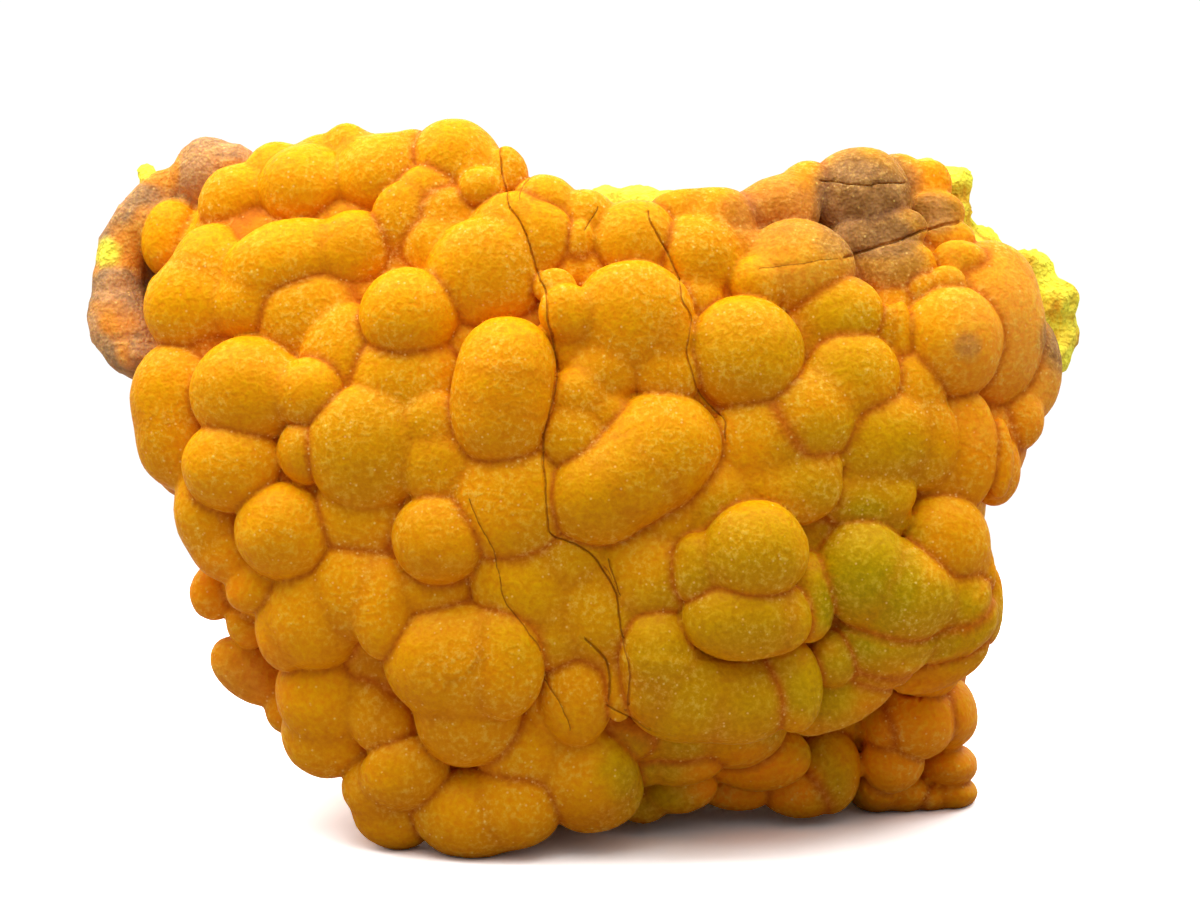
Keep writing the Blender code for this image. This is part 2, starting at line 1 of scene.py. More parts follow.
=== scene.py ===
"""Looks of the smithsonite: waxy amber crust of rounded lumps on rough yellow matrix.

The rock is one closed mesh. Its lumps are stretched balls laid out as in the CAD solid, here
wider, flatter and in places divided further. They are fused at a fine grain, with creases,
cracks, growth ledges and rough matrix added. Places are given as they are seen from the front,
in millimetres: across from the left and down from the top of a front view 120 mm wide and
90.8 mm high, and depth away from the viewer.
"""
import itertools
import math
import random

import bmesh
import bpy
import numpy as np
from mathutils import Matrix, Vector


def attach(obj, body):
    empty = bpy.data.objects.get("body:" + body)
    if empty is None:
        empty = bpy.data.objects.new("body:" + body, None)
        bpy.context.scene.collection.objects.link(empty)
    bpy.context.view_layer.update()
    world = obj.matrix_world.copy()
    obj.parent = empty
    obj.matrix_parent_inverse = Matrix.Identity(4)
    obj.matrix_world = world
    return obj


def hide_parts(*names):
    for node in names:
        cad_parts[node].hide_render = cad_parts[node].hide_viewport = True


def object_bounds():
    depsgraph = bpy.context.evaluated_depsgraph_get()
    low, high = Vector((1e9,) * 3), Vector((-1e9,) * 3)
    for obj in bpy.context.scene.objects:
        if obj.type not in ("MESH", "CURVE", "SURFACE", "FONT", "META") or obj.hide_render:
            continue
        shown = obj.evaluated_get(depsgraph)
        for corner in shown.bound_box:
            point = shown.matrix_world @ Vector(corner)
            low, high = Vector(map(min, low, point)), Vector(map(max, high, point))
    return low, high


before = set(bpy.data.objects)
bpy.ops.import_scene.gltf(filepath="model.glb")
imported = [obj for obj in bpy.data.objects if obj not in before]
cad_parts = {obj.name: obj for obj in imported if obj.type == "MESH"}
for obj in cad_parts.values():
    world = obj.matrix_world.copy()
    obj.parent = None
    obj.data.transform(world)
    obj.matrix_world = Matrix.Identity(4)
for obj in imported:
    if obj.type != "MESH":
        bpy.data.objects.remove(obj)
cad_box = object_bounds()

MM = 0.001

# The front view: its distance, how far it looks down, its middle and its width
VIEW_DISTANCE = 600.0
VIEW_LIFT = math.radians(13)
VIEW_MIDDLE = (60.0, 45.4)
VIEW_WIDTH = 120.0
SENSOR_WIDTH = 36.0

# Where the specimen's own origin lies in the view's axes: under its middle, on the floor
ORIGIN = np.array((-1.5, 3.2, -37.3))

# The crust's face is a shallow dome: nearest at its middle, farther back towards the edge
DOME_MIDDLE = (58.0, 47.0)
DOME_HALF_SIZE = (47.0, 37.0)
DOME_NEAREST = -17.0
DOME_SAG = 12.0
DOME_POWER = 2.2
CORE_UNDER_FACE = 3.0

# How softly the lumps of each sort run together, in mm
LAYER_BLEND = 1.0
RIM_BLEND = 1.6
MATRIX_BLEND = 0.8

# The wrap of crust round the sides, behind the outline: rows of (depth, set in by)
RIM_ROWS = ((3.5, 0.6), (8.0, 1.4), (12.5, 2.4), (17.0, 4.0))
RIM_RADIUS = (3.0, 5.0)
RIM_SHIFT = 0.35
RIM_DEPTH_SHIFT = 1.5
RIM_FLATNESS = 0.9
RIM_SEED = 7

# The matrix at the back, and how its lumps and rubble vary
BACK_SHIFT = 2.0
BACK_WIDTHS = (0.85, 1.1)
BACK_HEIGHTS = (0.8, 1.0)
BACK_DEPTHS = (0.8, 1.15)
BACK_TURN = 40.0
BACK_SEED = 11
RUBBLE_PER_LUMP = 3
RUBBLE_RADIUS = (1.6, 3.6)
RUBBLE_REACH = (0.2, 0.8)
RUBBLE_HEIGHTS = (0.6, 1.0)
RUBBLE_FLATNESS = 0.8
RUBBLE_SINK = 0.45

# Crust lumps in groups: name, how softly its lumps run together in mm, how much wider they are
# than what shows of them, their depth as a share of their width, and each lump as
# (across, down, half width, half height, proud of the dome, turn in degrees if any)
CLUSTERS = (
    ("brown ear", 2.2, 1.0, 1.0, (20.8, 17.2, 3.8, 3.8, -3), (23.8, 16.6, 2, 2.2, -3.8),
     (16.2, 19.2, 2.4, 2.4, -4.6), (14.2, 22, 3.1, 2.9, -4.5), (12.2, 25, 2.7, 3, -5),
     (11.6, 28.2, 2.8, 2.8, -5), (11.6, 31.4, 3.1, 3, -5), (12.3, 33.5, 3.6, 2.8, -5),
     (13.4, 35.8, 2.8, 2.3, -5)),
    ("orange beside the ear", 0.9, 1.1, 0.9, (17.2, 24, 3, 3.9, -4.2), (16.3, 29.6, 1.8, 2.2, -3.6)),
    ("upper left edge", 1.7, 1.05, 0.8, (27.5, 16.7, 2.7, 2.5, -2), (23.7, 20.5, 3.9, 3.8, -1),
     (32, 16.2, 2.6, 2.6, -2), (30.5, 19, 4.2, 4.2, 0.5), (34.7, 14.2, 1.9, 1.9, -1.2),
     (36.6, 15.8, 2.4, 2.3, -1.8), (38.5, 18, 4.5, 4.5, 0), (41.5, 15.5, 2.4, 2.4, -1.6)),
    ("highest lumps", 1.6, 1.0, 0.85, (45.5, 16.5, 4.8, 4.7, 0), (48.2, 19, 2.3, 2.3, 0.5),
     (51, 17.3, 1.8, 3, -0.8, -10)),
    ("low stretch of the top edge", 0.7, 1.03, 0.85, (54.3, 20.8, 3.4, 3.3, -0.5),
     (58.5, 21.9, 2.9, 2.9, -0.8), (58, 24.5, 1.4, 2.4, -0.6), (63.5, 24.6, 4.8, 4.6, 0)),
    ("below the peak", 0.9, 1.2, 0.6, (44.6, 21.6, 3, 2.6, -0.7), (43.4, 25, 2.8, 2.8, -0.9),
     (51.4, 23.2, 3.6, 3.4, -0.1), (48.8, 27.6, 5.2, 4.9, 0.8), (53.8, 24.4, 3.2, 3.4, 0.1)),
    ("long swelling, upper left", 1.6, 1.04, 0.75, (29, 26.2, 6.2, 4.2, 1, -8), (21.5, 27, 4.4, 4.6, 0),
     (20.2, 30.8, 5.7, 5.2, 0.3), (25.2, 30.8, 3.7, 3.7, 0.1), (35.6, 25.5, 4.2, 4.2, 0)),
    ("sunk, upper left", 0.5, 1.45, 0.5, (32.4, 32.4, 4.6, 3.9, -1.1), (35, 36.8, 3.6, 4.4, -0.8),
     (40.5, 23, 2.6, 3.4, -0.8), (43, 20.4, 2.8, 2.8, -0.8)),
    ("round, upper left", 0.3, 1.04, 0.75, (41, 31.5, 4.9, 4.7, 1.9)),
    ("tall double lump", 2.6, 1.02, 0.75, (50.8, 36.2, 4.6, 4.6, 2.4), (50.5, 39, 4.7, 4.4, 2.2),
     (50, 42, 4.8, 4.8, 1.8)),
    ("sunk, round the middle", 0.5, 1.4, 0.5, (41, 38.5, 4.5, 4.3, -0.5), (43.6, 42.6, 2.6, 2.4, -0.3),
     (37, 44.8, 4.5, 4.6, 0.9), (44.5, 46.8, 3.3, 3, -0.1), (36.8, 51.2, 3.8, 3.6, -1.1),
     (51.2, 50, 4.4, 4.6, 0.7)),
    ("round, below the middle", 0.3, 1.04, 0.75, (44, 53.8, 4.7, 4.6, 1.7)),
    ("left edge", 1.6, 1.0, 0.85, (18.5, 39.5, 5.4, 5.6, -0.2), (18.6, 43.5, 5, 5.6, -0.8),
     (21.1, 51.2, 3.8, 4.8, -0.5), (22.8, 55, 3.6, 3.2, -0.8), (25.8, 58.6, 3.4, 2.6, -0.6, -20)),
    ("large double lump, left", 1.6, 1.03, 0.72, (25, 39.3, 5.9, 5.5, 1.9), (31.3, 39.5, 3.6, 3.6, 1.1)),
    ("pair below it", 0.8, 1.05, 0.75, (23.3, 46.6, 4.9, 4.5, 1.8), (30.8, 45.2, 3, 3.2, 0.3)),
    ("round, left", 0.4, 1.04, 0.75, (28.5, 53.1, 5.1, 4.7, 1.7)),
    ("upper middle", 0.7, 1.25, 0.6, (63.5, 32, 5, 4.8, 1.2), (55.5, 28.6, 1.8, 1.5, -0.1),
     (56.8, 31.2, 2.4, 2.3, 0.9), (66.8, 33.8, 2.2, 2.2, 0.4), (66.8, 37.2, 2.8, 2.8, -0.1),
     (60.5, 37, 3, 2.6, -0.4), (57.8, 27.2, 2.4, 2.2, -1.6), (57.2, 34.6, 3.2, 3, -1.2),
     (57.8, 39.5, 2.4, 2.4, 0), (60.4, 41.4, 2.4, 2.2, -0.6), (57.3, 43.5, 2.8, 2.7, 0.2)),
    ("heart-shaped pair", 2.2, 1.03, 0.72, (66.2, 44.6, 5.8, 5.6, 1.7), (63.2, 47.4, 5.2, 4.9, 1.6),
     (59.8, 49.5, 5, 4.9, 1.5)),
    ("upper right", 0.7, 1.15, 0.7, (70, 26, 4.2, 4.2, 0), (71.5, 22.5, 4, 3.4, -0.8),
     (74.2, 24.5, 1.6, 1.6, -1), (68.4, 21.4, 3.4, 2.3, -1.4), (69.8, 30.2, 2.6, 2.4, -1.2),
     (79.7, 27.2, 5, 4.6, 1), (76, 28.5, 2.5, 2.5, 0.5)),
    ("reddish slope", 1.6, 1.0, 0.8, (77.6, 20.4, 4.3, 3, -1, -18), (74.2, 21.6, 3.6, 2.4, -1.4, -10),
     (80.8, 18.9, 2.9, 2.8, -1.2), (79.2, 21.6, 2.6, 2.2, -0.9)),
    ("brown dome", 0.3, 1.02, 0.75, (85.9, 19.9, 5.3, 5.1, 0.6)),
    ("brown, upper right edge", 0.9, 1.1, 0.75, (89.6, 18.6, 3.2, 3.1, -2.8),
     (88.2, 23.2, 4.2, 2.5, -0.2, -8), (85.6, 24, 2.4, 2, -0.8), (93, 18.5, 2, 2.4, -1.5),
     (93.5, 21.2, 2.8, 2, -1), (94.4, 24.2, 3, 2.2, -1), (89.2, 27.4, 4.2, 3.4, 0)),
    ("round, upper right", 0.3, 1.04, 0.7, (74.6, 35.5, 5.6, 5.7, 1.8)),
    ("slanting pair", 1.8, 1.15, 0.65, (85, 38, 4.4, 4.3, 1.1), (80.2, 42, 4.6, 4.3, 0.9)),
    ("small, right of the middle", 0.6, 1.3, 0.55, (83.8, 31.8, 3.6, 3.3, 0.7),
     (80.7, 34.4, 2.2, 3.4, -1.3), (89.2, 30.6, 2, 1.9, -0.8), (90.4, 39.5, 3.2, 3.4, 0),
     (87.4, 44, 4.7, 3.9, 0.7), (91.8, 44.3, 3.2, 3.9, 0.5), (93.8, 47.8, 2.5, 2.2, -0.8),
     (96.2, 45, 2.8, 4.8, 0.2), (86.2, 49.6, 4.4, 2.7, -0.3), (88, 51.6, 2.6, 2, -0.8)),
    ("narrow ridges beside the ball", 0.3, 1.05, 0.8, (88.3, 33.2, 1.5, 2.6, 0, 4),
     (90, 33.8, 1.3, 3.4, 0.2)),
    ("ball at the right edge", 0.5, 1.07, 0.72, (95, 34.3, 5.1, 5.4, 2.8)),
    ("shell round the ball", 1.2, 1.02, 0.75, (98, 33.2, 6.4, 8.4, 1.2), (99, 28.8, 4.4, 4.6, 0.6)),
    ("knobs above the ball", 0.6, 1.05, 0.75, (96, 26.4, 3, 2.2, 1.2), (94.6, 28.4, 2, 1.6, 1.6),
     (91.8, 29, 1.6, 1.6, 0.6)),
    ("set back behind the shell", 1.0, 1.04, 0.8, (101.4, 37, 4.6, 6.2, -2.2),
     (101.8, 42.2, 2.6, 3.1, -1.6), (99.5, 46.8, 2.6, 3.6, -1), (99.9, 45.8, 1.3, 3.8, 0.2)),
    ("sunk, below the middle", 0.5, 1.45, 0.5, (76.2, 44, 3.8, 3.4, 0), (78.1, 48.6, 4.3, 2.9, 0),
     (71.5, 50, 3.6, 3.4, -0.6), (81.6, 46.8, 1.8, 1.8, -0.2), (68, 52, 3.2, 3.2, -1),
     (52.6, 57.6, 3.9, 4.7, -0.2), (54.4, 62, 3.9, 3.5, -0.4), (57, 55.6, 2.8, 2.6, -0.8),
     (59.8, 60, 3.8, 4.4, -0.4), (60, 64.9, 1.7, 1.5, -0.8), (61.8, 66.6, 1.5, 3.8, -0.6),
     (62.5, 72, 2.6, 2.8, -1.9), (64.8, 57.2, 3.7, 3.3, 0)),
    ("greenish ball in front", 1.2, 1.03, 0.78, (75.6, 55, 5.3, 4.9, 4.2), (69.6, 56.6, 2.6, 3.6, 1.4)),
    ("below the greenish ball", 1.8, 1.03, 0.7, (73.8, 61.6, 5.6, 4.2, 3.6), (77.6, 61.6, 3.4, 3.4, 2.8)),
    ("set back beside them", 0.5, 1.03, 0.8, (80.6, 59.6, 2.9, 4.5, 1)),
    ("broad greenish lump", 2.2, 1.03, 0.75, (68.6, 69, 6, 5, 2.3), (74, 69.6, 5.8, 4.6, 2.6),
     (65.6, 64.4, 3.6, 4.2, 1.8), (65.4, 68, 3.2, 3.8, 1.6)),
    ("its right lobe", 0.5, 1.03, 0.75, (79, 68.4, 3.1, 4.9, 2.4, -12)),
    ("at its right side", 0.8, 1.15, 0.75, (84.2, 69.4, 5, 2.9, 0.2, -24), (81, 71, 2.4, 2.2, -0.6),
     (83.2, 65.8, 2.3, 2.5, 0.6)),
    ("greenish cluster, lower right", 1.8, 1.03, 0.78, (86.2, 57, 4.6, 5.2, 2.2), (89.8, 59.4, 5.6, 5.2, 3),
     (95.4, 59.6, 3.6, 4.2, 1.7)),
    ("its upper right lump", 1.2, 1.03, 0.78, (94.4, 54.2, 4.5, 5, 1.6), (97.6, 57.2, 1.9, 3, 0.4)),
    ("shell under it", 1.2, 1.04, 0.75, (88.2, 63.6, 5, 4.4, 1.7), (94.8, 62.6, 4.9, 3.2, 1.4, -24),
     (98.6, 60.2, 1.7, 4, -0.6)),
    ("lowest shells under it", 1.2, 1.05, 0.75, (94.6, 65, 4.2, 2.9, 0.2, -24), (87.4, 66.4, 3.9, 2.6, 0.7),
     (92.4, 67, 3.8, 2, -0.8, -10)),
    ("left column of the foot", 1.0, 1.06, 1.9, (88.9, 72.6, 3.4, 3.9, -6.4), (87.6, 78.3, 2.8, 2.8, -7.2),
     (90.4, 79.4, 2.5, 1.8, -7.6)),
    ("top of the foot", 0.8, 1.04, 1.9, (94.6, 71.4, 3, 3.7, -6.4)),
    ("middle of the foot", 0.5, 1.04, 2.4, (94.6, 76.6, 3, 2.3, -7)),
    ("bottom of the foot", 0.8, 1.06, 2.6, (94.9, 79.4, 2.6, 1.8, -7.6), (92.6, 79.8, 2, 1.5, -7.8)),
    ("recessed row between the feet", 0.8, 1.15, 0.75, (68, 75.4, 4, 2.9, -2.8), (64.2, 75.4, 2.6, 2.8, -3),
     (68.2, 78.8, 3, 2.2, -4.8), (64.6, 80.3, 2.2, 1.6, -5.4)),
    ("dark lumps along the base", 1.2, 1.08, 0.75, (75.4, 75.6, 5.2, 3.2, -5.2),
     (73.6, 79, 3.4, 1.9, -7.6)),
    ("crescent at the base", 0.5, 1.05, 0.8, (82.6, 77, 3.2, 4.2, -6.6)),
    ("in front of the crescent", 0.5, 1.05, 0.8, (79.8, 79, 3.8, 2.5, -6.2, 8)),
    ("lower left", 0.9, 1.2, 0.65, (28.8, 62.2, 2.8, 4.2, -0.4), (31.8, 61, 4.4, 5, 0.4),
     (36, 58.6, 4, 4.4, 0), (38.4, 60.8, 2.6, 4.4, 0.7), (43.6, 59, 3.4, 2.6, -0.6)),
    ("lower left, second row", 0.8, 1.12, 0.75, (32.6, 69.2, 4.5, 4.8, 0.1), (33, 73.4, 4.3, 4, -0.2),
     (37.2, 70.6, 2.4, 4, -0.3), (39, 72.3, 2.2, 2.4, 0.1)),
    ("large triple lump, lower left", 1.5, 1.03, 0.7, (46.2, 66, 7.6, 6.3, 2.5),
     (50.6, 66.2, 3.8, 5.6, 2.5), (46.9, 71.9, 5.3, 4.8, 2.2)),
    ("round, lower left edge", 1.1, 1.03, 0.8, (40.5, 77, 4.4, 3.7, 3.2, -8), (38.3, 78.5, 4, 3.4, 2),
     (39.6, 81, 4.1, 3.7, 2.4)),
    ("bulge at the front, which it rests on", 1.6, 1.02, 0.85, (47.2, 81.2, 5.9, 4.5, 4.2),
     (51.8, 80.2, 4.6, 4.4, 4)),
    ("beside the bulge", 0.8, 1.15, 0.72, (52.6, 74.8, 4.5, 4.6, 1), (55.2, 70.6, 2.4, 3.8, -0.8),
     (57.7, 69.2, 3.2, 4.6, 0.8), (58.6, 77, 4.6, 4.6, 2.2), (59.2, 78.8, 4.5, 3.9, 1.7)),
    ("set back, lower left", 0.9, 1.05, 0.85, (21.4, 59.2, 2.4, 2.9, -5), (24.8, 62.4, 2.2, 2.6, -4.5),
     (25, 67.2, 4.2, 2.8, -5, 37), (28.9, 70.9, 2.2, 2.6, -5), (31.8, 73.4, 2.9, 2.8, -5)),
)

# Core that backs the crust: (across, down, radius, depth of the back)
CORE = (
    (26, 27, 9, 14), (36, 26, 9.5, 15), (47, 25, 9.5, 15), (58, 30, 9.5, 17),
    (69, 31, 9.5, 17), (80, 30, 9.5, 16), (90, 29, 8.5, 14), (97, 34, 7.5, 12),
    (24, 38, 9, 15), (35, 37, 10, 17), (46, 37, 10, 18), (57, 38, 10, 19),
    (68, 39, 10, 19), (79, 39, 10, 18), (89, 40, 9.5, 16), (96, 42, 6.5, 12),
    (26, 48, 8.5, 15), (36, 48, 10, 18), (47, 48, 10, 19), (58, 49, 10, 20),
    (69, 50, 10, 20), (80, 50, 10, 18), (91, 50, 8, 15),
    (29, 57, 8, 15), (38, 58, 9.5, 18), (49, 58, 10, 20), (60, 59, 10, 20),
    (71, 60, 10, 20), (82, 60, 10, 19), (90, 60, 8.5, 16),
    (36, 67, 8, 16), (45, 68, 9.5, 19), (56, 68, 9.5, 20), (67, 67, 9, 20),
    (45, 75, 7.5, 16), (54, 74, 7, 19),
)

# Core behind the recessed base row and the foot: (across, down, radius, front depth, back depth)
BASE_CORE = (
    (66, 73, 5.5, 0, 18), (74, 72, 5.5, 1, 20), (82, 72, 6, 2, 20), (90, 73, 5.2, 8, 19),
    (91, 66, 5.2, 5, 16),
)

# Coarse matrix of the back: (across, down, half width, half height, half depth, depth)
BACK = (
    (24, 28, 7.5, 7, 8, 9), (34, 26, 7.5, 7, 8.5, 10), (46, 26, 8, 7.5, 8, 11.5),
    (58, 30, 8, 7, 8.5, 12.5), (70, 31, 8, 7.5, 8, 14), (82, 30, 8, 7.5, 8.5, 11.5),
    (93, 31, 7, 6.5, 7, 10),
    (23, 39, 7.5, 7, 8, 10), (34, 38, 8.5, 8, 8, 13.5), (46, 39, 8.5, 8, 9, 13),
    (58, 41, 8.5, 8, 8.5, 15.5), (70, 42, 8.5, 8, 9, 14), (82, 41, 8.5, 8, 8, 14),
    (94, 42, 7, 7, 7.5, 10),
    (27, 50, 7.5, 7, 7.5, 11.5), (38, 50, 8.5, 8, 8.5, 14.5), (50, 51, 8.5, 8, 8.5, 16.5),
    (62, 52, 8.5, 8, 9, 15), (74, 53, 8.5, 8, 8.5, 15.5), (86, 52, 8, 7.5, 8, 12.5),
    (32, 60, 7, 7, 8, 12), (43, 61, 8.5, 8, 8.5, 15.5), (55, 62, 8.5, 8, 9, 17),
    (67, 62, 8.5, 8, 8.5, 17.5), (79, 63, 8.5, 8, 8, 15.5), (89, 62, 7.5, 7.5, 7.5, 13),
    (40, 69, 7, 7, 8, 15.5), (68, 70, 7.5, 7.5, 8, 17), (79, 72, 7, 6.5, 7.5, 16.5),
    (88, 73, 6.5, 6, 7, 15),
)

# Other lumps behind the crust, by kind of surface, with rows in the same order as the back
BLOCKS = (
    # Yellow matrix that shows past the crust
    ("matrix", (
        (15.2, 17.9, 1.9, 1.7, 3, 9), (60.6, 21.4, 3, 3, 4, 5),
        (64.2, 21.4, 3.2, 3.2, 4.5, 6), (68, 21.6, 3.2, 3.1, 4.5, 6),
        (92.2, 18, 2.7, 2.7, 4, 5), (95.4, 18.6, 2.6, 2.6, 4, 6),
        (96, 21.2, 2.3, 2.6, 4, 5), (96.5, 25, 3.6, 2.6, 5, 4),
        (99.6, 27.4, 4, 3.7, 5, 5), (103, 27.2, 2.7, 3.2, 3.2, 6.5),
        (105.5, 30.4, 2.8, 3.2, 3, 5.4), (106.2, 33.6, 2.3, 3, 2.6, 5.8),
        (105.5, 35.8, 2.1, 2.6, 3, 4.6),
    )),
    # Back foot, the third place that the specimen rests on
    ("back", ((46, 71.6, 7.5, 8, 8, 17.5), (57, 71.9, 7.5, 8, 8, 17))),
    # Back of the ear
    ("ear", (
        (18.5, 21, 3.6, 3.6, 3.6, 9), (15.5, 26, 3.4, 4.2, 3.4, 9.5),
        (15, 32, 3.6, 4, 3.4, 9), (18.5, 30, 4, 4.5, 4.5, 7.5),
    )),
    # Matrix behind the bright lumps at the upper right
    ("matrix", ((99.5, 32, 6.5, 5.5, 6, 8), (97.5, 24.5, 3.4, 3.2, 5, 9))),
)

# Path that the wrap of crust follows, set in from the outline: (across, down),
# from the foot up the right side, over the top and down the left side to the bulge
RIM = (
    (90, 76), (93, 71), (93, 64), (95, 57), (94, 50), (98, 43), (100, 37), (99, 32), (93, 25),
    (87, 20.5), (79, 22), (72, 24), (65, 26), (57, 24), (50, 20.5), (45, 17.5), (38, 18.5),
    (31, 19.5), (25, 21), (20, 27), (18, 33), (18, 38), (19, 44), (21, 51), (25, 57), (29, 63),
    (32, 70), (38, 77), (44, 80), (51, 79), (58, 77),
)

# The crust's layer between the lumps: rows of (down, across from, across to)
FILL_RADIUS = 6.0
FILL_STEP = 5.0
FILL_UNDER_FACE = 2.3
FILL_ROWS = (
    (26, 26, 54), (30.5, 24, 99), (35, 22, 100), (39.5, 21, 98), (44, 22, 97),
    (48.5, 24, 95), (53, 26, 94), (57.5, 29, 94), (62, 33, 93), (66.5, 36, 88), (71, 38, 76),
    (75.5, 42, 60),
)

# How the lumps are fused: grain of the first net, the groove between groups, and the rounds of
# pulling the net onto the lumps' true surface
FINE_GRAIN = 0.24
BALL_DETAIL = 4
BLEND_SHARE = 0.33
CRISP = 0.06
NEAR_REACH = 1.6
WEIGHT_REACH = 4.0
TINY = 1e-30
FAR = 9.0
VERY_FAR = 99.0
PULL_ROUNDS = 4
PULL_LIMIT = 0.6
MOST_TRIANGLES = 196000

# Unevenness of the lumps: (size, amount) in mm
WARP = ((9.0, 0.30), (3.6, 0.12))
NOISE_CELLS = 32

# Kinds of surface, and how softly they and the lumps' shades run together
KINDS = ("crust", "ear", "side", "core", "matrix", "back")
KIND_BLEND = 0.25
SHADE_BLEND = 0.3
SHADE_SEED = 5

# Coarse surface, (size, amount) in mm, and how much of it each kind of surface takes
MATRIX_ROUGHNESS = ((5.0, 0.55), (2.3, 0.40), (1.1, 0.28), (0.5, 0.16))
COARSE_SHARE = {"matrix": 1.0, "back": 1.0, "core": 0.3, "ear": 0.4}

# Fine grain of the crust, and how far it is sunk
SUGAR = ((1.5, 0.035), (0.6, 0.03))
SUGAR_SINK = 0.03

# Cracks in the front view, each with its half width and depth and its bent line
CRACKS = (
    (0.10, 0.40, (
        (50, 13.5), (50.1, 16), (50.3, 17.8), (50.7, 19), (50.8, 20.5), (51.3, 21.2),
        (52, 22), (52.6, 23.2), (53, 24.5), (53.5, 26.2), (53.8, 27.8), (54.5, 28.6),
        (54.8, 29.6), (54.7, 31), (54.8, 32.5), (55.6, 35), (55.7, 37.2), (55.5, 39.5),
        (55, 41.5), (54.5, 43), (54.2, 45), (54.5, 47), (54.7, 50), (54.8, 52),
        (55, 53.5), (57, 54.1), (58.5, 54.8), (59.7, 56), (60.3, 57), (61, 58.2),
        (61.8, 59.8), (62, 62), (62.3, 64), (62.5, 65.5), (63, 66.8), (62.9, 69),
        (62.8, 70.5))),
    (0.08, 0.3, ((60.8, 56), (61.3, 57.5), (62, 59.5))),
    (0.12, 0.4, ((58.5, 64), (60, 65.2), (60.7, 66.2), (61, 68), (60.9, 70))),
    (0.09, 0.3, ((60.7, 70.6), (62, 71.2), (63.5, 72), (65, 73))),
    (0.07, 0.2, ((53.2, 17.6), (52.5, 18.4), (52, 19.2), (52, 20))),
    (0.09, 0.32, (
        (64.8, 21.2), (64.8, 22), (65.5, 23), (66.2, 24.2), (67.2, 26.2), (68, 28.5),
        (68.2, 30.2), (69, 31.2), (69.1, 32.2), (68.9, 33.5), (68.6, 35), (68.8, 36),
        (69.6, 38.2), (70, 39.5), (71.2, 40.8), (72.4, 41.8), (72.6, 44))),
    (0.13, 0.45, (
        (84.5, 25.7), (86, 25.3), (88, 24.5), (90, 24), (92, 23.2), (94, 22.5),
        (96, 22.2))),
    (0.08, 0.3, ((82, 18), (84, 18.1), (85.5, 18.4), (86.8, 18.6), (88, 18.3), (90.5, 18.2))),
    (0.05, 0.1, ((76, 26.8), (79.8, 26.4), (83.8, 25.8))),
    (0.07, 0.2, (
        (47, 50), (47.8, 52), (48.8, 54), (49.7, 56), (50.3, 60), (52, 62),
        (54, 65))),
    (0.07, 0.2, ((54.5, 68), (55.5, 69.5), (56.5, 71.2), (57, 73))),
    (0.07, 0.2, ((59.7, 20.8), (59.2, 22), (58.5, 23))),
)
CRACK_WANDER = ((1.6, 0.14), (0.6, 0.06))
CRACKS_END_AT = 10.0
# How far from a crack the net is made finer, in half widths of the crack
CRACK_REFINE = 0.5 / 0.12

# Growth ledges in the front view: how far the layer's edge stands up, how far it fades, and its
# bent line with the high side on the left as it is followed
LEDGES = (
    (0.22, 2.5, (
        (44, 70), (44.5, 68.3), (46.2, 67.7), (47.5, 66.5), (48, 65), (48, 64),
        (48.5, 62))),
    (0.18, 2, ((78.5, 64.5), (74, 66.2), (70, 66), (66, 65.8))),
    (0.30, 2.2, ((98.6, 58.2), (96, 62.4), (93, 64.4), (89, 64.6), (84.6, 63))),
    (0.24, 1.8, ((96.8, 62.3), (95, 65.2), (91.2, 66.4))),
    (0.22, 1.8, ((97, 64.6), (94.5, 67.6), (90, 68.9))),
)
LEDGE_EDGE = 0.25
LEDGES_END_AT = 8.0

# Cracks and ledges fade out where the surface turns away from the front: how quickly
FRONT_FADE = 3.0

# Stains in the front view: (across, down, half width, half height, strength)
STAINS = {
    # Grey-brown skin: lumps at the upper right, patch on the matrix, spots on single lumps
    "brown": (
        (86, 19.8, 5.5, 5.3, 1), (87.6, 23.4, 4.4, 2.8, 0.95), (93.6, 21.2, 3, 2, 0.75),
        (88.4, 26.2, 4, 2.2, 0.55), (106.6, 34, 2.4, 3.4, 1), (24.6, 67.4, 3.6, 2.6, 0.2),
        (78, 20.2, 5.5, 3.6, 0.42), (96.8, 34.6, 1.3, 1.3, 0.5),
    ),
    # Deep orange, at the edges and the base
    "orange": (
        (92, 75.5, 7.5, 8, 0.8), (101, 40, 5.5, 10, 0.5), (21.4, 59.2, 3.4, 3.8, 0.7),
        (77.5, 20.4, 6, 4, 0.9), (94, 17.6, 3.4, 2.6, 0.7), (100, 29, 3, 6, 0.5),
        (75.5, 78.4, 6.8, 3.4, 1), (25, 67.5, 4.5, 4.5, 0.6),
    ),
    # Greenish lumps
    "green": (
        (75, 55, 7, 6, 0.55), (72, 65, 11, 10, 0.55), (86.5, 58.5, 6.5, 8, 1),
        (92.5, 62, 8.5, 5, 0.7), (84, 69, 7, 4.5, 0.75), (86, 47, 8, 6, 0.45),
        (75, 36, 6.5, 6.5, 0.25), (84, 34, 5.5, 5, 0.4), (56, 60, 8, 8, 0.3),
        (37, 45, 7, 7, 0.2), (61, 49, 9, 8, 0.2), (66, 77, 6, 5, 0.7),
        (83, 77, 3.2, 4.4, 0.5),
    ),
    # Paler, pinkish tone towards the right edge and one spot near the top
    "pale": ((120, 30, 22, 16, 0.6), (80, 25.5, 4.5, 3, 0.3)),
    # Bare yellow matrix on the ear
    "yellow": ((10.5, 25.2, 1.5, 1.3, 1),),
}
STAIN_SOFTNESS = 0.35
STAIN_WANDER = ((4.0, 0.18), (1.5, 0.10))
STAINS_FADE_AT = (11.0, 8.0)

# Painted light and shade: the crust is painted paler where it faces up, as if lit from above, and
# deeper where it faces down, as if in shade: how far a face's direction points up, from none of
# the tone to all of it
PAINTED_TOP_LIGHT_FACING = (0.15, 0.85)
PAINTED_UNDER_SHADE_FACING = (0.05, -0.75)
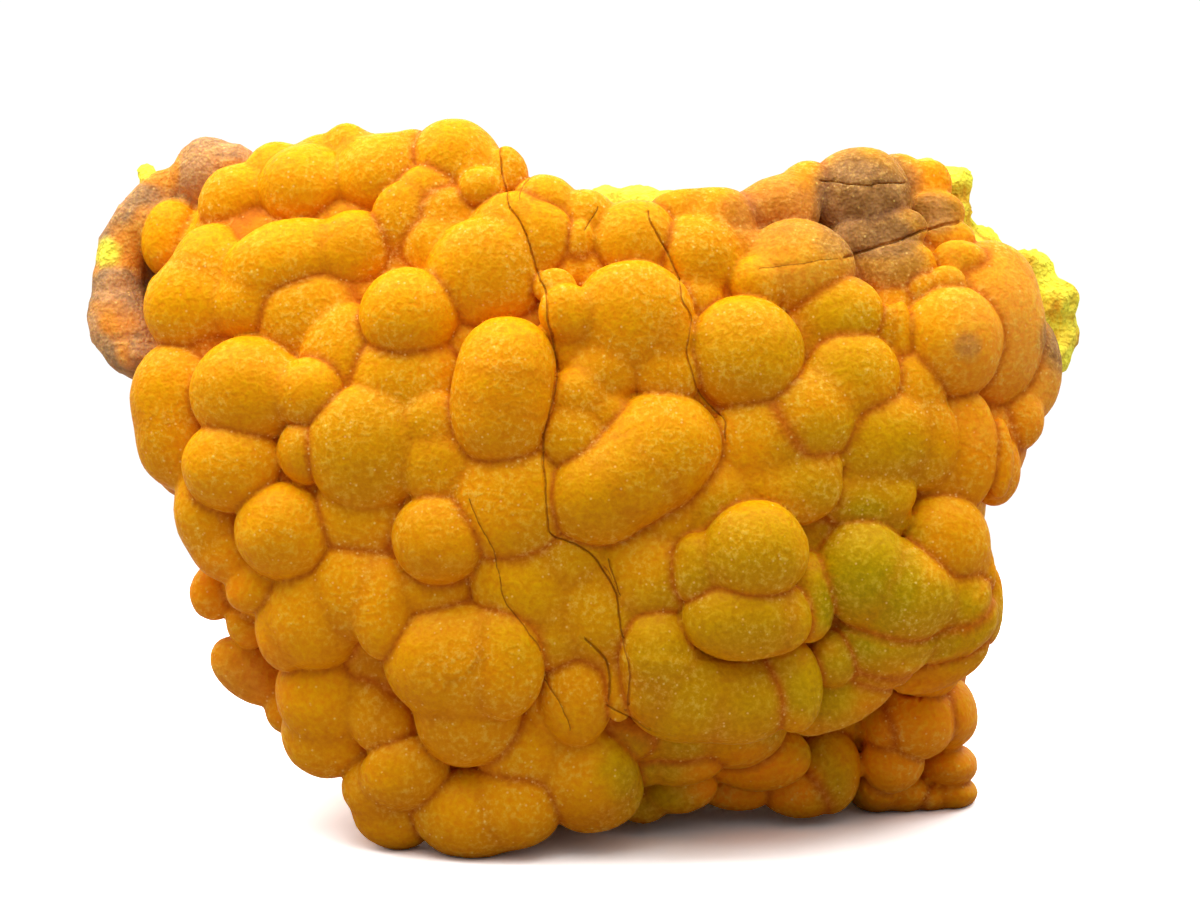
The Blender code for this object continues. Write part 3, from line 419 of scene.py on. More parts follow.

# How far the painted shade, a deeper red, reaches from the creases between groups and the folds between
# lumps
PAINTED_CREASE_SHADE_REACH = 0.32
PAINTED_FOLD_SHADE_REACH = 0.45
CRACK_SEEN = 4.0


def view_axes():
    """The view's axes as columns: across, down and away from the viewer."""
    lift_sin = math.sin(VIEW_LIFT)
    lift_cos = math.cos(VIEW_LIFT)
    return np.array(((1, 0, 0), (0, -lift_sin, lift_cos), (0, -lift_cos, -lift_sin)))


AXES = view_axes()


def ramp(values, low, high):
    """0 at low, 1 at high, straight between."""
    return np.clip((values - low) / (high - low), 0, 1)


def dome_depth(across, down):
    """Depth of the crust's face at a place of the front view."""
    out_across = (across - DOME_MIDDLE[0]) / DOME_HALF_SIZE[0]
    out_down = (down - DOME_MIDDLE[1]) / DOME_HALF_SIZE[1]
    return DOME_NEAREST + DOME_SAG * math.hypot(out_across, out_down) ** DOME_POWER


def seen_from_front(points):
    """Across, down and depth in the front view of points in mm."""
    moved = (points + ORIGIN) @ AXES
    spread = (VIEW_DISTANCE + moved[:, 2]) / VIEW_DISTANCE
    across = VIEW_MIDDLE[0] + moved[:, 0] / spread
    down = VIEW_MIDDLE[1] + moved[:, 1] / spread
    return across, down, moved[:, 2]


class Lump:
    """A stretched ball, placed so that it is seen at this place and size of the front view."""

    def __init__(self, across, down, depth, half_sizes, turn=0.0):
        spread = (VIEW_DISTANCE + depth) / VIEW_DISTANCE
        seen = ((across - VIEW_MIDDLE[0]) * spread, (down - VIEW_MIDDLE[1]) * spread, depth)
        bearing = math.radians(turn)
        spin = np.array(((math.cos(bearing), -math.sin(bearing), 0),
                         (math.sin(bearing), math.cos(bearing), 0), (0, 0, 1)))
        self.centre = AXES @ np.array(seen) - ORIGIN
        self.axes = AXES @ spin
        self.sizes = np.array(half_sizes) * spread
        reach = np.sqrt(((self.axes * self.sizes) ** 2).sum(axis=1)) + NEAR_REACH
        self.low = self.centre - reach
        self.high = self.centre + reach

    def distance(self, points):
        """Signed distance, close to the surface, and the way out."""
        local = (points - self.centre) @ self.axes / self.sizes
        steep = local / self.sizes
        reach = np.linalg.norm(local, axis=1)
        slope = np.linalg.norm(steep, axis=1) + 1e-9
        outward = steep @ self.axes.T / slope[:, None]
        return reach * (reach - 1) / slope, outward


class Group:
    """Lumps that run softly together, of one kind of surface."""

    def __init__(self, kind, blend, lumps):
        self.kind = kind
        self.blend = blend * BLEND_SHARE
        self.lumps = lumps
        self.low = np.min([lump.low for lump in lumps], axis=0)
        self.high = np.max([lump.high for lump in lumps], axis=0)


def crust_groups():
    for name, blend, grow, flat, *rows in CLUSTERS:
        lumps = []
        for across, down, half_width, half_height, proud, *turn in rows:
            half_depth = min(half_width, half_height) * grow * flat
            depth = dome_depth(across, down) + half_depth - proud
            sizes = (half_width * grow, half_height * grow, half_depth)
            lumps.append(Lump(across, down, depth, sizes, *turn))
        yield Group("ear" if name == "brown ear" else "crust", blend, lumps)


def fill_group():
    """The crust's own layer between the lumps, inside the outline."""
    lumps = []
    for row, (down, first, last) in enumerate(FILL_ROWS):
        across = first + row % 2 * FILL_STEP / 2
        while across <= last:
            depth = dome_depth(across, down) + FILL_UNDER_FACE + FILL_RADIUS
            lumps.append(Lump(across, down, depth, (FILL_RADIUS,) * 3))
            across += FILL_STEP
    return Group("crust", LAYER_BLEND, lumps)


def block_groups():
    for kind, rows in BLOCKS:
        lumps = []
        for across, down, half_width, half_height, half_depth, depth in rows:
            lumps.append(Lump(across, down, depth, (half_width, half_height, half_depth)))
        yield Group(kind, MATRIX_BLEND, lumps)


def core_group():
    """Long lumps that run from just under the crust's face to the matrix."""
    rows = [(across, down, radius, dome_depth(across, down) + CORE_UNDER_FACE, back)
            for across, down, radius, back in CORE]
    lumps = []
    for across, down, radius, front, back in rows + list(BASE_CORE):
        lumps.append(Lump(across, down, (front + back) / 2, (radius, radius, (back - front) / 2)))
    return Group("core", LAYER_BLEND, lumps)


def along_rim(step):
    """Place on the rim's path, by a count of points that need not be whole."""
    first = min(max(int(step), 0), len(RIM) - 2)
    part = step - first
    across = RIM[first][0] * (1 - part) + RIM[first + 1][0] * part
    down = RIM[first][1] * (1 - part) + RIM[first + 1][1] * part
    return across, down


def rim_groups():
    """Rows of smaller lumps that carry the crust round the sides, out of the front's sight."""
    chance = random.Random(RIM_SEED)
    for row, (depth, inset) in enumerate(RIM_ROWS):
        for count in range(len(RIM) - row % 2):
            shift = chance.uniform(-RIM_SHIFT, RIM_SHIFT)
            across, down = along_rim(count + row % 2 / 2 + shift)
            radius = chance.uniform(*RIM_RADIUS)
            pull = inset / math.hypot(across - DOME_MIDDLE[0], down - DOME_MIDDLE[1])
            across += (DOME_MIDDLE[0] - across) * pull
            down += (DOME_MIDDLE[1] - down) * pull
            here = depth + chance.uniform(-RIM_DEPTH_SHIFT, RIM_DEPTH_SHIFT)
            lump = Lump(across, down, here, (radius, radius, radius * RIM_FLATNESS))
            yield Group("side", RIM_BLEND, [lump])


def back_groups():
    """Coarse lumps of matrix, no two alike, with small rubble stuck to them."""
    chance = random.Random(BACK_SEED)
    for across, down, half_width, half_height, half_depth, depth in BACK:
        across += chance.uniform(-BACK_SHIFT, BACK_SHIFT)
        down += chance.uniform(-BACK_SHIFT, BACK_SHIFT)
        wide = half_width * chance.uniform(*BACK_WIDTHS)
        high = half_height * chance.uniform(*BACK_HEIGHTS)
        deep = half_depth * chance.uniform(*BACK_DEPTHS)
        turn = chance.uniform(-BACK_TURN, BACK_TURN)
        lumps = [Lump(across, down, depth, (wide, high, deep), turn)]
        for _ in range(RUBBLE_PER_LUMP):
            reach = chance.uniform(*RUBBLE_REACH)
            bearing = chance.uniform(0, 2 * math.pi)
            radius = chance.uniform(*RUBBLE_RADIUS)
            rubble_across = across + wide * reach * math.cos(bearing)
            rubble_down = down + high * reach * math.sin(bearing)
            rubble_depth = depth + deep * math.sqrt(1 - reach ** 2) - RUBBLE_SINK * radius
            sizes = (radius, radius * chance.uniform(*RUBBLE_HEIGHTS), radius * RUBBLE_FLATNESS)
            spin = chance.uniform(0, 180)
            lumps.append(Lump(rubble_across, rubble_down, rubble_depth, sizes, spin))
        yield Group("back", MATRIX_BLEND, lumps)


def all_groups():
    return [*crust_groups(), fill_group(), core_group(), *rim_groups(), *back_groups(),
            *block_groups()]


def smooth_noise(points, size, seed):
    """Smooth random values from -1 to 1, one a point, that change over about this size."""
    chance = np.random.default_rng(seed)
    table = chance.uniform(-1, 1, (NOISE_CELLS,) * 3)
    spin = np.linalg.qr(chance.normal(size=(3, 3)))[0]
    cell = points @ spin / size
    low = np.floor(cell).astype(int)
    part = cell - low
    part = part * part * (3 - 2 * part)
    total = np.zeros(len(points))
    for corner in itertools.product((0, 1), repeat=3):
        place = (low + corner) % NOISE_CELLS
        weight = np.where(corner, part, 1 - part).prod(axis=1)
        total += weight * table[place[:, 0], place[:, 1], place[:, 2]]
    return total


def layered_noise(points, layers, seed):
    """Noise of several sizes, added up by their amounts."""
    total = np.zeros(len(points))
    for count, (size, amount) in enumerate(layers):
        total += amount * smooth_noise(points, size, seed + count)
    return total


def warp(points):
    """Small moves of points, which make the lumps uneven."""
    moves = [layered_noise(points, WARP, seed) for seed in (100, 200, 300)]
    return np.stack(moves, axis=1)


class Survey:
    """Points sorted across, so that those near a lump are found quickly."""

    def __init__(self, points):
        self.order = np.argsort(points[:, 0])
        self.points = points[self.order]

    def stretch(self, low, high):
        """The run of sorted points between two distances across."""
        return slice(*np.searchsorted(self.points[:, 0], (low[0], high[0])))

    def in_box(self, low, high, within):
        """Places, in a run of points, of those inside a box."""
        points = self.points[within]
        inside = ((points[:, 1] > low[1]) & (points[:, 1] < high[1])
                  & (points[:, 2] > low[2]) & (points[:, 2] < high[2])
                  & (points[:, 0] > low[0]) & (points[:, 0] < high[0]))
        return np.nonzero(inside)[0]

    def unsorted(self, values):
        result = np.empty_like(values)
        result[self.order] = values
        return result


def weight_of(distance, softness):
    return np.exp(-np.clip(distance, -WEIGHT_REACH, WEIGHT_REACH) / softness)


def rock_distance(points, groups):
    """Signed distance to the fused lumps and the way out, for points near the surface."""
    survey = Survey(points)
    total = np.full(len(points), TINY)
    outward = np.zeros((len(points), 3))
    for group in groups:
        run = survey.stretch(group.low, group.high)
        share = np.zeros(run.stop - run.start)
        push = np.zeros((len(share), 3))
        for lump in group.lumps:
            near = survey.in_box(lump.low, lump.high, run)
            distance, way_out = lump.distance(survey.points[run][near])
            weight = weight_of(distance, group.blend)
            share[near] += weight
            push[near] += weight[:, None] * way_out
        near = np.nonzero(share > TINY)[0]
        distance = -group.blend * np.log(share[near])
        weight = weight_of(distance, CRISP)
        total[run.start + near] += weight
        outward[run.start + near] += (weight / share[near])[:, None] * push[near]
    outward /= np.linalg.norm(outward, axis=1)[:, None] + TINY
    return survey.unsorted(-CRISP * np.log(total)), survey.unsorted(outward)


def surface_facts(points, groups):
    """For each point: gaps to the second nearest group and lump, the kinds' shares, a shade."""
    survey = Survey(points)
    count = len(points)
    nearest = {"group": np.full(count, FAR), "lump": np.full(count, FAR)}
    second = {"group": np.full(count, FAR), "lump": np.full(count, FAR)}
    kinds = {kind: np.full(count, TINY) for kind in KINDS}
    shade = np.zeros(count)
    shade_total = np.full(count, TINY)
    chance = random.Random(SHADE_SEED)

    def compare(level, places, distance):
        runner_up = np.maximum(nearest[level][places], distance)
        second[level][places] = np.minimum(second[level][places], runner_up)
        nearest[level][places] = np.minimum(nearest[level][places], distance)

    for group in groups:
        run = survey.stretch(group.low, group.high)
        share = np.zeros(run.stop - run.start)
        for lump in group.lumps:
            near = survey.in_box(lump.low, lump.high, run)
            distance, _ = lump.distance(survey.points[run][near])
            share[near] += weight_of(distance, group.blend)
            places = run.start + near
            compare("lump", places, distance)
            weight = weight_of(distance, SHADE_BLEND)
            shade[places] += weight * chance.uniform(-1, 1)
            shade_total[places] += weight
        near = np.nonzero(share > TINY)[0]
        distance = -group.blend * np.log(share[near])
        compare("group", run.start + near, distance)
        kinds[group.kind][run.start + near] += weight_of(distance, KIND_BLEND)
    whole = sum(kinds.values())
    facts = {kind: share / whole for kind, share in kinds.items()}
    facts["group_gap"] = second["group"] - nearest["group"]
    facts["lump_gap"] = second["lump"] - nearest["lump"]
    facts["shade"] = shade / shade_total
    return {name: survey.unsorted(values) for name, values in facts.items()}


def rounded(line):
    """A bent line with its corners cut."""
    corners = [line[0]]
    for (x1, y1), (x2, y2) in zip(line, line[1:]):
        corners.append((0.75 * x1 + 0.25 * x2, 0.75 * y1 + 0.25 * y2))
        corners.append((0.25 * x1 + 0.75 * x2, 0.25 * y1 + 0.75 * y2))
    return corners + [line[-1]]


def line_offset(across, down, line):
    """Signed distance in the front view from a bent line, positive on its left."""
    best = np.full(len(across), VERY_FAR)
    signed = np.full(len(across), VERY_FAR)
    for (x1, y1), (x2, y2) in zip(line, line[1:]):
        step_x = x2 - x1
        step_y = y2 - y1
        length = math.hypot(step_x, step_y)
        along = ((across - x1) * step_x + (down - y1) * step_y) / length ** 2
        along = np.clip(along, 0, 1)
        off_x = across - x1 - along * step_x
        off_y = down - y1 - along * step_y
        away = np.hypot(off_x, off_y)
        side = np.where(step_x * off_y - step_y * off_x < 0, 1.0, -1.0)
        closer = away < best
        best[closer] = away[closer]
        signed[closer] = (away * side)[closer]
    return signed


def crack_offset(points):
    """Signed distance from the nearest crack, in half widths of that crack, and its depth."""
    across, down, depth = seen_from_front(points)
    across = across + layered_noise(points, CRACK_WANDER, 500)
    down = down + layered_noise(points, CRACK_WANDER, 510)
    nearest = np.full(len(points), VERY_FAR)
    deep = np.zeros(len(points))
    for half_width, crack_depth, line in CRACKS:
        offset = line_offset(across, down, rounded(line)) / half_width
        closer = (np.abs(offset) < np.abs(nearest)) & (depth < CRACKS_END_AT)
        nearest[closer] = offset[closer]
        deep[closer] = crack_depth
    return nearest, deep


def ledge_height(points):
    """How far the layered growth raises the crust."""
    across, down, depth = seen_from_front(points)
    across = across + layered_noise(points, CRACK_WANDER, 520)
    down = down + layered_noise(points, CRACK_WANDER, 530)
    raised = np.zeros(len(points))
    for height, fade, line in LEDGES:
        offset = line_offset(across, down, line)
        step = np.clip(offset / LEDGE_EDGE + 0.5, 0, 1)
        raised += height * step * np.exp(-np.maximum(offset, 0) / fade) * (depth < LEDGES_END_AT)
    return raised


def unit_ball():
    """Points and triangles of a ball of radius 1."""
    shape = bmesh.new()
    bmesh.ops.create_icosphere(shape, subdivisions=BALL_DETAIL, radius=1.0)
    points = np.array([point.co for point in shape.verts])
    faces = np.array([[corner.index for corner in face.verts] for face in shape.faces])
    shape.free()
    return points, faces


def mesh_object(name, points, faces):
    mesh = bpy.data.meshes.new(name)
    mesh.from_pydata((points * MM).tolist(), [], faces)
    thing = bpy.data.objects.new(name, mesh)
    bpy.context.collection.objects.link(thing)
    return thing


def mesh_points(mesh):
    points = np.empty(len(mesh.vertices) * 3)
    mesh.vertices.foreach_get("co", points)
    return points.reshape(-1, 3) / MM


def set_mesh_points(mesh, points):
    mesh.vertices.foreach_set("co", (points * MM).ravel())
    mesh.update()


def with_modifiers(thing):
    """The object's mesh as its modifiers leave it."""
    bpy.context.view_layer.update()
    return bpy.data.meshes.new_from_object(thing.evaluated_get(bpy.context.evaluated_depsgraph_get()))


def fused_net(groups):
    """All lumps as one closed net of even grain."""
    ball_points, ball_faces = unit_ball()
    points = []
    faces = []
    for lump in itertools.chain.from_iterable(group.lumps for group in groups):
        faces.append(ball_faces + len(points) * len(ball_points))
        points.append((ball_points * lump.sizes) @ lump.axes.T + lump.centre)
    balls = mesh_object("balls", np.concatenate(points), np.concatenate(faces).tolist())
    remesh = balls.modifiers.new("fuse", "REMESH")
    remesh.mode = "VOXEL"
    remesh.voxel_size = FINE_GRAIN * MM
    net = with_modifiers(balls)
    bpy.data.objects.remove(balls, do_unlink=True)
    return net


def pulled_onto_lumps(points, groups):
    shift = warp(points)
    for _ in range(PULL_ROUNDS):
        distance, outward = rock_distance(points + shift, groups)
        points = points - outward * np.clip(distance, -PULL_LIMIT, PULL_LIMIT)[:, None]
    return points


def refine_cracks(mesh):
    """Splits the net's edges along the cracks, so that they can be narrow."""
    offset, _ = crack_offset(mesh_points(mesh))
    shape = bmesh.new()
    shape.from_mesh(mesh)
    close = np.abs(offset) < CRACK_REFINE
    edges = [edge for edge in shape.edges
             if close[edge.verts[0].index] and close[edge.verts[1].index]]
    bmesh.ops.subdivide_edges(shape, edges=edges, cuts=1, use_grid_fill=True)
    bmesh.ops.triangulate(shape, faces=shape.faces)
    shape.to_mesh(mesh)
    shape.free()


def carved(points, groups):
    """Cracks cut in and ledges raised, along the way out."""
    _, outward = rock_distance(points + warp(points), groups)
    offset, deep = crack_offset(points)
    facing = np.clip(-outward @ AXES[:, 2] * FRONT_FADE, 0, 1)
    move = (ledge_height(points) - deep * np.exp(-offset ** 2)) * facing
    return points + outward * move[:, None]


def thinned(mesh):
    """The mesh with fewer triangles, most of them kept where it is sharply curved."""
    thing = bpy.data.objects.new("thin", mesh)
    bpy.context.collection.objects.link(thing)
    triangles = sum(len(face.vertices) - 2 for face in mesh.polygons)
    thin = thing.modifiers.new("thin", "DECIMATE")
    thin.ratio = min(1.0, MOST_TRIANGLES / triangles)
    thin.use_collapse_triangulate = True
    result = with_modifiers(thing)
    bpy.data.objects.remove(thing, do_unlink=True)
    return result


def roughened(points, groups):
    """Fine grain on the crust and a coarse surface on the matrix, all inside the solid's box."""
    unwarped = points + warp(points)
    facts = surface_facts(unwarped, groups)
    _, outward = rock_distance(unwarped, groups)
    coarse = sum(facts[kind] * share for kind, share in COARSE_SHARE.items())
    sink = sum(amount for _, amount in MATRIX_ROUGHNESS) / 2
    move = coarse * (layered_noise(points, MATRIX_ROUGHNESS, 400) - sink)
    move += (1 - coarse) * (layered_noise(points, SUGAR, 440) - SUGAR_SINK)
    points = points + outward * move[:, None]
    lowest, highest = np.array(cad_box) / MM
    return np.clip(points, lowest, highest)


def stain_mask(points, spots):
    """How strongly any of these spots stains each point."""
    across, down, depth = seen_from_front(points)
    wander = layered_noise(points, STAIN_WANDER, 600)
    in_front = ramp(depth, *STAINS_FADE_AT)
    mask = np.zeros(len(points))
    for middle, height, half_width, half_height, strength in spots:
        reach = np.hypot((across - middle) / half_width, (down - height) / half_height) + wander
        cover = ramp(reach, 1 + STAIN_SOFTNESS, 1 - STAIN_SOFTNESS)
        mask = np.maximum(mask, cover * cover * (3 - 2 * cover) * strength * in_front)
    return mask


def store_facts(mesh, groups):
    """Keeps what the materials need at each point of the mesh."""
    points = mesh_points(mesh)
    facts = surface_facts(points + warp(points), groups)
    offset, _ = crack_offset(points)
    masks = {name: stain_mask(points, spots) for name, spots in STAINS.items()}
    masks["matrix"] = np.clip(facts["matrix"] + masks.pop("yellow"), 0, 1)
    # Painted shade: deeper red near the creases between groups and the folds between lumps
    masks["painted_crease_shade"] = np.exp(-(facts["group_gap"] / PAINTED_CREASE_SHADE_REACH) ** 2)
    masks["painted_fold_shade"] = np.exp(-(facts["lump_gap"] / PAINTED_FOLD_SHADE_REACH) ** 2)
    masks["crack_side"] = np.clip(offset, -CRACK_SEEN, CRACK_SEEN)
    masks["crack_reach"] = np.abs(masks["crack_side"])
    # Painted light and shade: paler where the surface faces up, deeper where it faces down
    upward = np.empty(len(mesh.vertices) * 3, dtype=np.float32)
    mesh.vertex_normals.foreach_get("vector", upward)
    masks["painted_top_light"] = ramp(upward[2::3], *PAINTED_TOP_LIGHT_FACING)
    masks["painted_under_shade"] = ramp(upward[2::3], *PAINTED_UNDER_SHADE_FACING)
    for name in ("back", "ear", "shade"):
        masks[name] = facts[name]
    for name, values in masks.items():
        layer = mesh.attributes.new(name, "FLOAT", "POINT")
        layer.data.foreach_set("value", np.ascontiguousarray(values, dtype=np.float32))


def build_rock():
    groups = all_groups()
    net = fused_net(groups)
    set_mesh_points(net, pulled_onto_lumps(mesh_points(net), groups))
    refine_cracks(net)
    set_mesh_points(net, carved(mesh_points(net), groups))
    mesh = thinned(net)
    set_mesh_points(mesh, roughened(mesh_points(mesh), groups))
    store_facts(mesh, groups)
    mesh.shade_smooth()
    rock = bpy.data.objects.new("smithsonite_rock", mesh)
    bpy.context.collection.objects.link(rock)
    return rock


class Graph:
    """Short ways to add and join the nodes of a material or the world."""

    def __init__(self, owner):
        owner.use_nodes = True
        self.tree = owner.node_tree
        self.tree.nodes.clear()

    def add(self, kind, settings=None, **inputs):
        node = self.tree.nodes.new(kind)
        for name, value in (settings or {}).items():
            setattr(node, name, value)
        for name, value in inputs.items():
            self.join(value, node.inputs[name.replace("_", " ")])
        return node

    def join(self, value, socket):
        if isinstance(value, bpy.types.NodeSocket):
            self.tree.links.new(value, socket)
        else:
            socket.default_value = value

    def mask(self, name):
        node = self.add("ShaderNodeAttribute", {"attribute_name": name})
        return node.outputs["Fac"]

    def math(self, operation, first, second=0.0, clamp=False):
        node = self.add("ShaderNodeMath", {"operation": operation, "use_clamp": clamp})
        self.join(first, node.inputs[0])
        self.join(second, node.inputs[1])
        return node.outputs[0]

    def mix(self, share, first, second, blend="MIX"):
        node = self.add("ShaderNodeMix", {"data_type": "RGBA", "blend_type": blend})
        self.join(share, node.inputs["Factor"])
        self.join(first, node.inputs[6])
        self.join(second, node.inputs[7])
        return node.outputs[2]

    def number_mix(self, share, first, second):
        node = self.add("ShaderNodeMix", {"data_type": "FLOAT"})
        self.join(share, node.inputs["Factor"])
        self.join(first, node.inputs[2])
        self.join(second, node.inputs[3])
        return node.outputs[0]

    def noise(self, place, per_metre, detail=3.0, rough=0.55):
        node = self.add("ShaderNodeTexNoise", Vector=place, Scale=per_metre, Detail=detail,
                        Roughness=rough)
        return node.outputs["Fac"]

    def ramp(self, value, low, high):
        """0 below low, 1 above high, straight between."""
        node = self.add("ShaderNodeMapRange", Value=value, From_Min=low, From_Max=high)
        return node.outputs["Result"]

    def finish(self, kind, shader):
        """The last node, joined to the shader."""
        self.join(shader.outputs[0], self.add(kind).inputs["Surface"])


def paint(red, green, blue):
    return (red, green, blue, 1.0)


AMBER = paint(0.86, 0.345, 0.0015)
GOLDEN = paint(0.76, 0.295, 0.0015)
DEEP_ORANGE = paint(0.93, 0.29, 0.002)
GREENISH = paint(0.50, 0.32, 0.001)
# Painted shade in the creases and folds between lumps
PAINTED_CREASE_SHADE = paint(0.56, 0.12, 0.003)
# Painted light on faces turned up, and painted shade on faces turned down
PAINTED_TOP_LIGHT_TONE = paint(0.93, 0.41, 0.002)
PAINTED_UNDER_SHADE_TONE = paint(0.66, 0.19, 0.0015)
BROWN = paint(0.38, 0.20, 0.085)
TAN = paint(0.58, 0.28, 0.105)
RUST = paint(0.72, 0.26, 0.03)
DARK_BROWN = paint(0.20, 0.09, 0.035)
PALE = paint(0.92, 0.50, 0.14)
# White of frosted druse; on the bright grains it also stands for glints, as a painted highlight
SUGAR_WHITE = paint(1.0, 0.66, 0.18)
LEMON = paint(0.96, 0.88, 0.07)
OCHRE = paint(0.74, 0.42, 0.03)
# Painted shade: dark colour along the cracks
PAINTED_CRACK_SHADE = paint(0.34, 0.10, 0.006)

# Tones of the crust, one over the other: (mask, share, colour). The tones of faces turned up
# and down, of folds and of creases are painted light and shade; the others are the crust's own.
CRUST_TONES = (
    ("green", 1.0, GREENISH), ("orange", 1.0, DEEP_ORANGE), ("pale", 0.4, PALE),
    ("painted_top_light", 0.35, PAINTED_TOP_LIGHT_TONE), ("painted_under_shade", 0.6, PAINTED_UNDER_SHADE_TONE), ("painted_fold_shade", 0.3, PAINTED_CREASE_SHADE),
    ("painted_crease_shade", 0.8, PAINTED_CREASE_SHADE),
)

# Shares of the other tones
LIGHTER_SHARE = 0.35
BROWN_SHARE = 0.85
FROST_SHARE = 0.18
# Painted highlight: how far the grains are whitened to stand in for glints as well as pale druse
PAINTED_GLINT_GRAIN_SHARE = 0.55
SPECKLE_SHARE = 0.2
# Painted shade: how strongly the cracks are darkened
PAINTED_CRACK_SHADE_SHARE = 0.65

# Fine grain: cells a metre, and how much of it the bump takes on crust and on bare matrix
FINE_CELLS = 1700.0
GRAIN_SIZE = 0.26
BUMP_ON_CRUST = 0.3
BUMP_ON_MATRIX = 1.0
BUMP_HEIGHT = 0.0006

# Painted shade along a crack, in half widths of the crack: how far it reaches from its middle, and from its
# line
PAINTED_CRACK_SHADE_FROM_MIDDLE = 0.9
PAINTED_CRACK_SHADE_FROM_LINE = 2.6

# Roughness of crust, bare matrix, stained skin and bright grains
CRUST_ROUGH = 0.45
MATRIX_ROUGH = 0.85
STAINED_ROUGH = 0.6
GRAIN_ROUGH = 0.2

# Light that sinks into the crust: how much, and how far each colour goes, as shares of the reach
GLOW = 0.3
GLOW_COLOURS = (1.0, 0.4, 0.05)
GLOW_REACH = 0.0012


def crust_colour(graph, place):
    broad = graph.noise(place, 90.0, 1.0)
    colour = graph.mix(graph.ramp(broad, 0.35, 0.65), AMBER, GOLDEN)
    lighter = graph.ramp(graph.mask("shade"), -1.0, 1.0)
    colour = graph.mix(graph.math("MULTIPLY", lighter, LIGHTER_SHARE), colour, AMBER)
    # Over the crust's own tones come painted light and shade: paler on top, deeper underneath and in folds
    # and creases
    for name, share, tone in CRUST_TONES:
        colour = graph.mix(graph.math("MULTIPLY", graph.mask(name), share), colour, tone)
    return colour


def sugar_grains_with_painted_glints(graph, place, patches):
    """Bright round grains of pale druse, their white also a painted highlight for glints: few on the lumps,
    more in frosted patches and along the creases.
    """
    in_creases = graph.ramp(graph.mask("painted_crease_shade"), 0.15, 0.8)
    share = graph.number_mix(patches, 0.1, 0.35)
    share = graph.math("ADD", share, graph.math("MULTIPLY", in_creases, 0.15))
    cells = graph.add("ShaderNodeTexVoronoi", Vector=place, Scale=FINE_CELLS)
    chance = graph.add("ShaderNodeSeparateXYZ", Vector=cells.outputs["Color"]).outputs["X"]
    chosen = graph.math("LESS_THAN", chance, share)
    round_grain = graph.ramp(cells.outputs["Distance"], GRAIN_SIZE, GRAIN_SIZE * 0.4)
    return graph.math("MULTIPLY", chosen, round_grain)


def brown_colour(graph, place):
    spots = graph.noise(place, 420.0, 3.0, 0.65)
    return graph.mix(graph.ramp(spots, 0.36, 0.62), DARK_BROWN, BROWN)


def ear_colour(graph, place):
    patches = graph.noise(place, 260.0, 2.0, 0.65)
    rusty = graph.noise(place, 170.0, 1.0, 0.6)
    colour = graph.mix(graph.ramp(patches, 0.42, 0.58), BROWN, TAN)
    return graph.mix(graph.ramp(rusty, 0.5, 0.62), colour, RUST)


def matrix_colour(graph, place):
    powder = graph.noise(place, 260.0, 2.0, 0.65)
    return graph.mix(graph.ramp(powder, 0.46, 0.66), LEMON, OCHRE)


def back_colour(graph, place, bare, rusty):
    patches = graph.noise(place, 70.0, 2.0, 0.6)
    rust = graph.noise(place, 190.0, 2.0, 0.65)
    colour = graph.mix(graph.ramp(patches, 0.44, 0.58), bare, OCHRE)
    return graph.mix(graph.ramp(rust, 0.55, 0.68), colour, rusty)


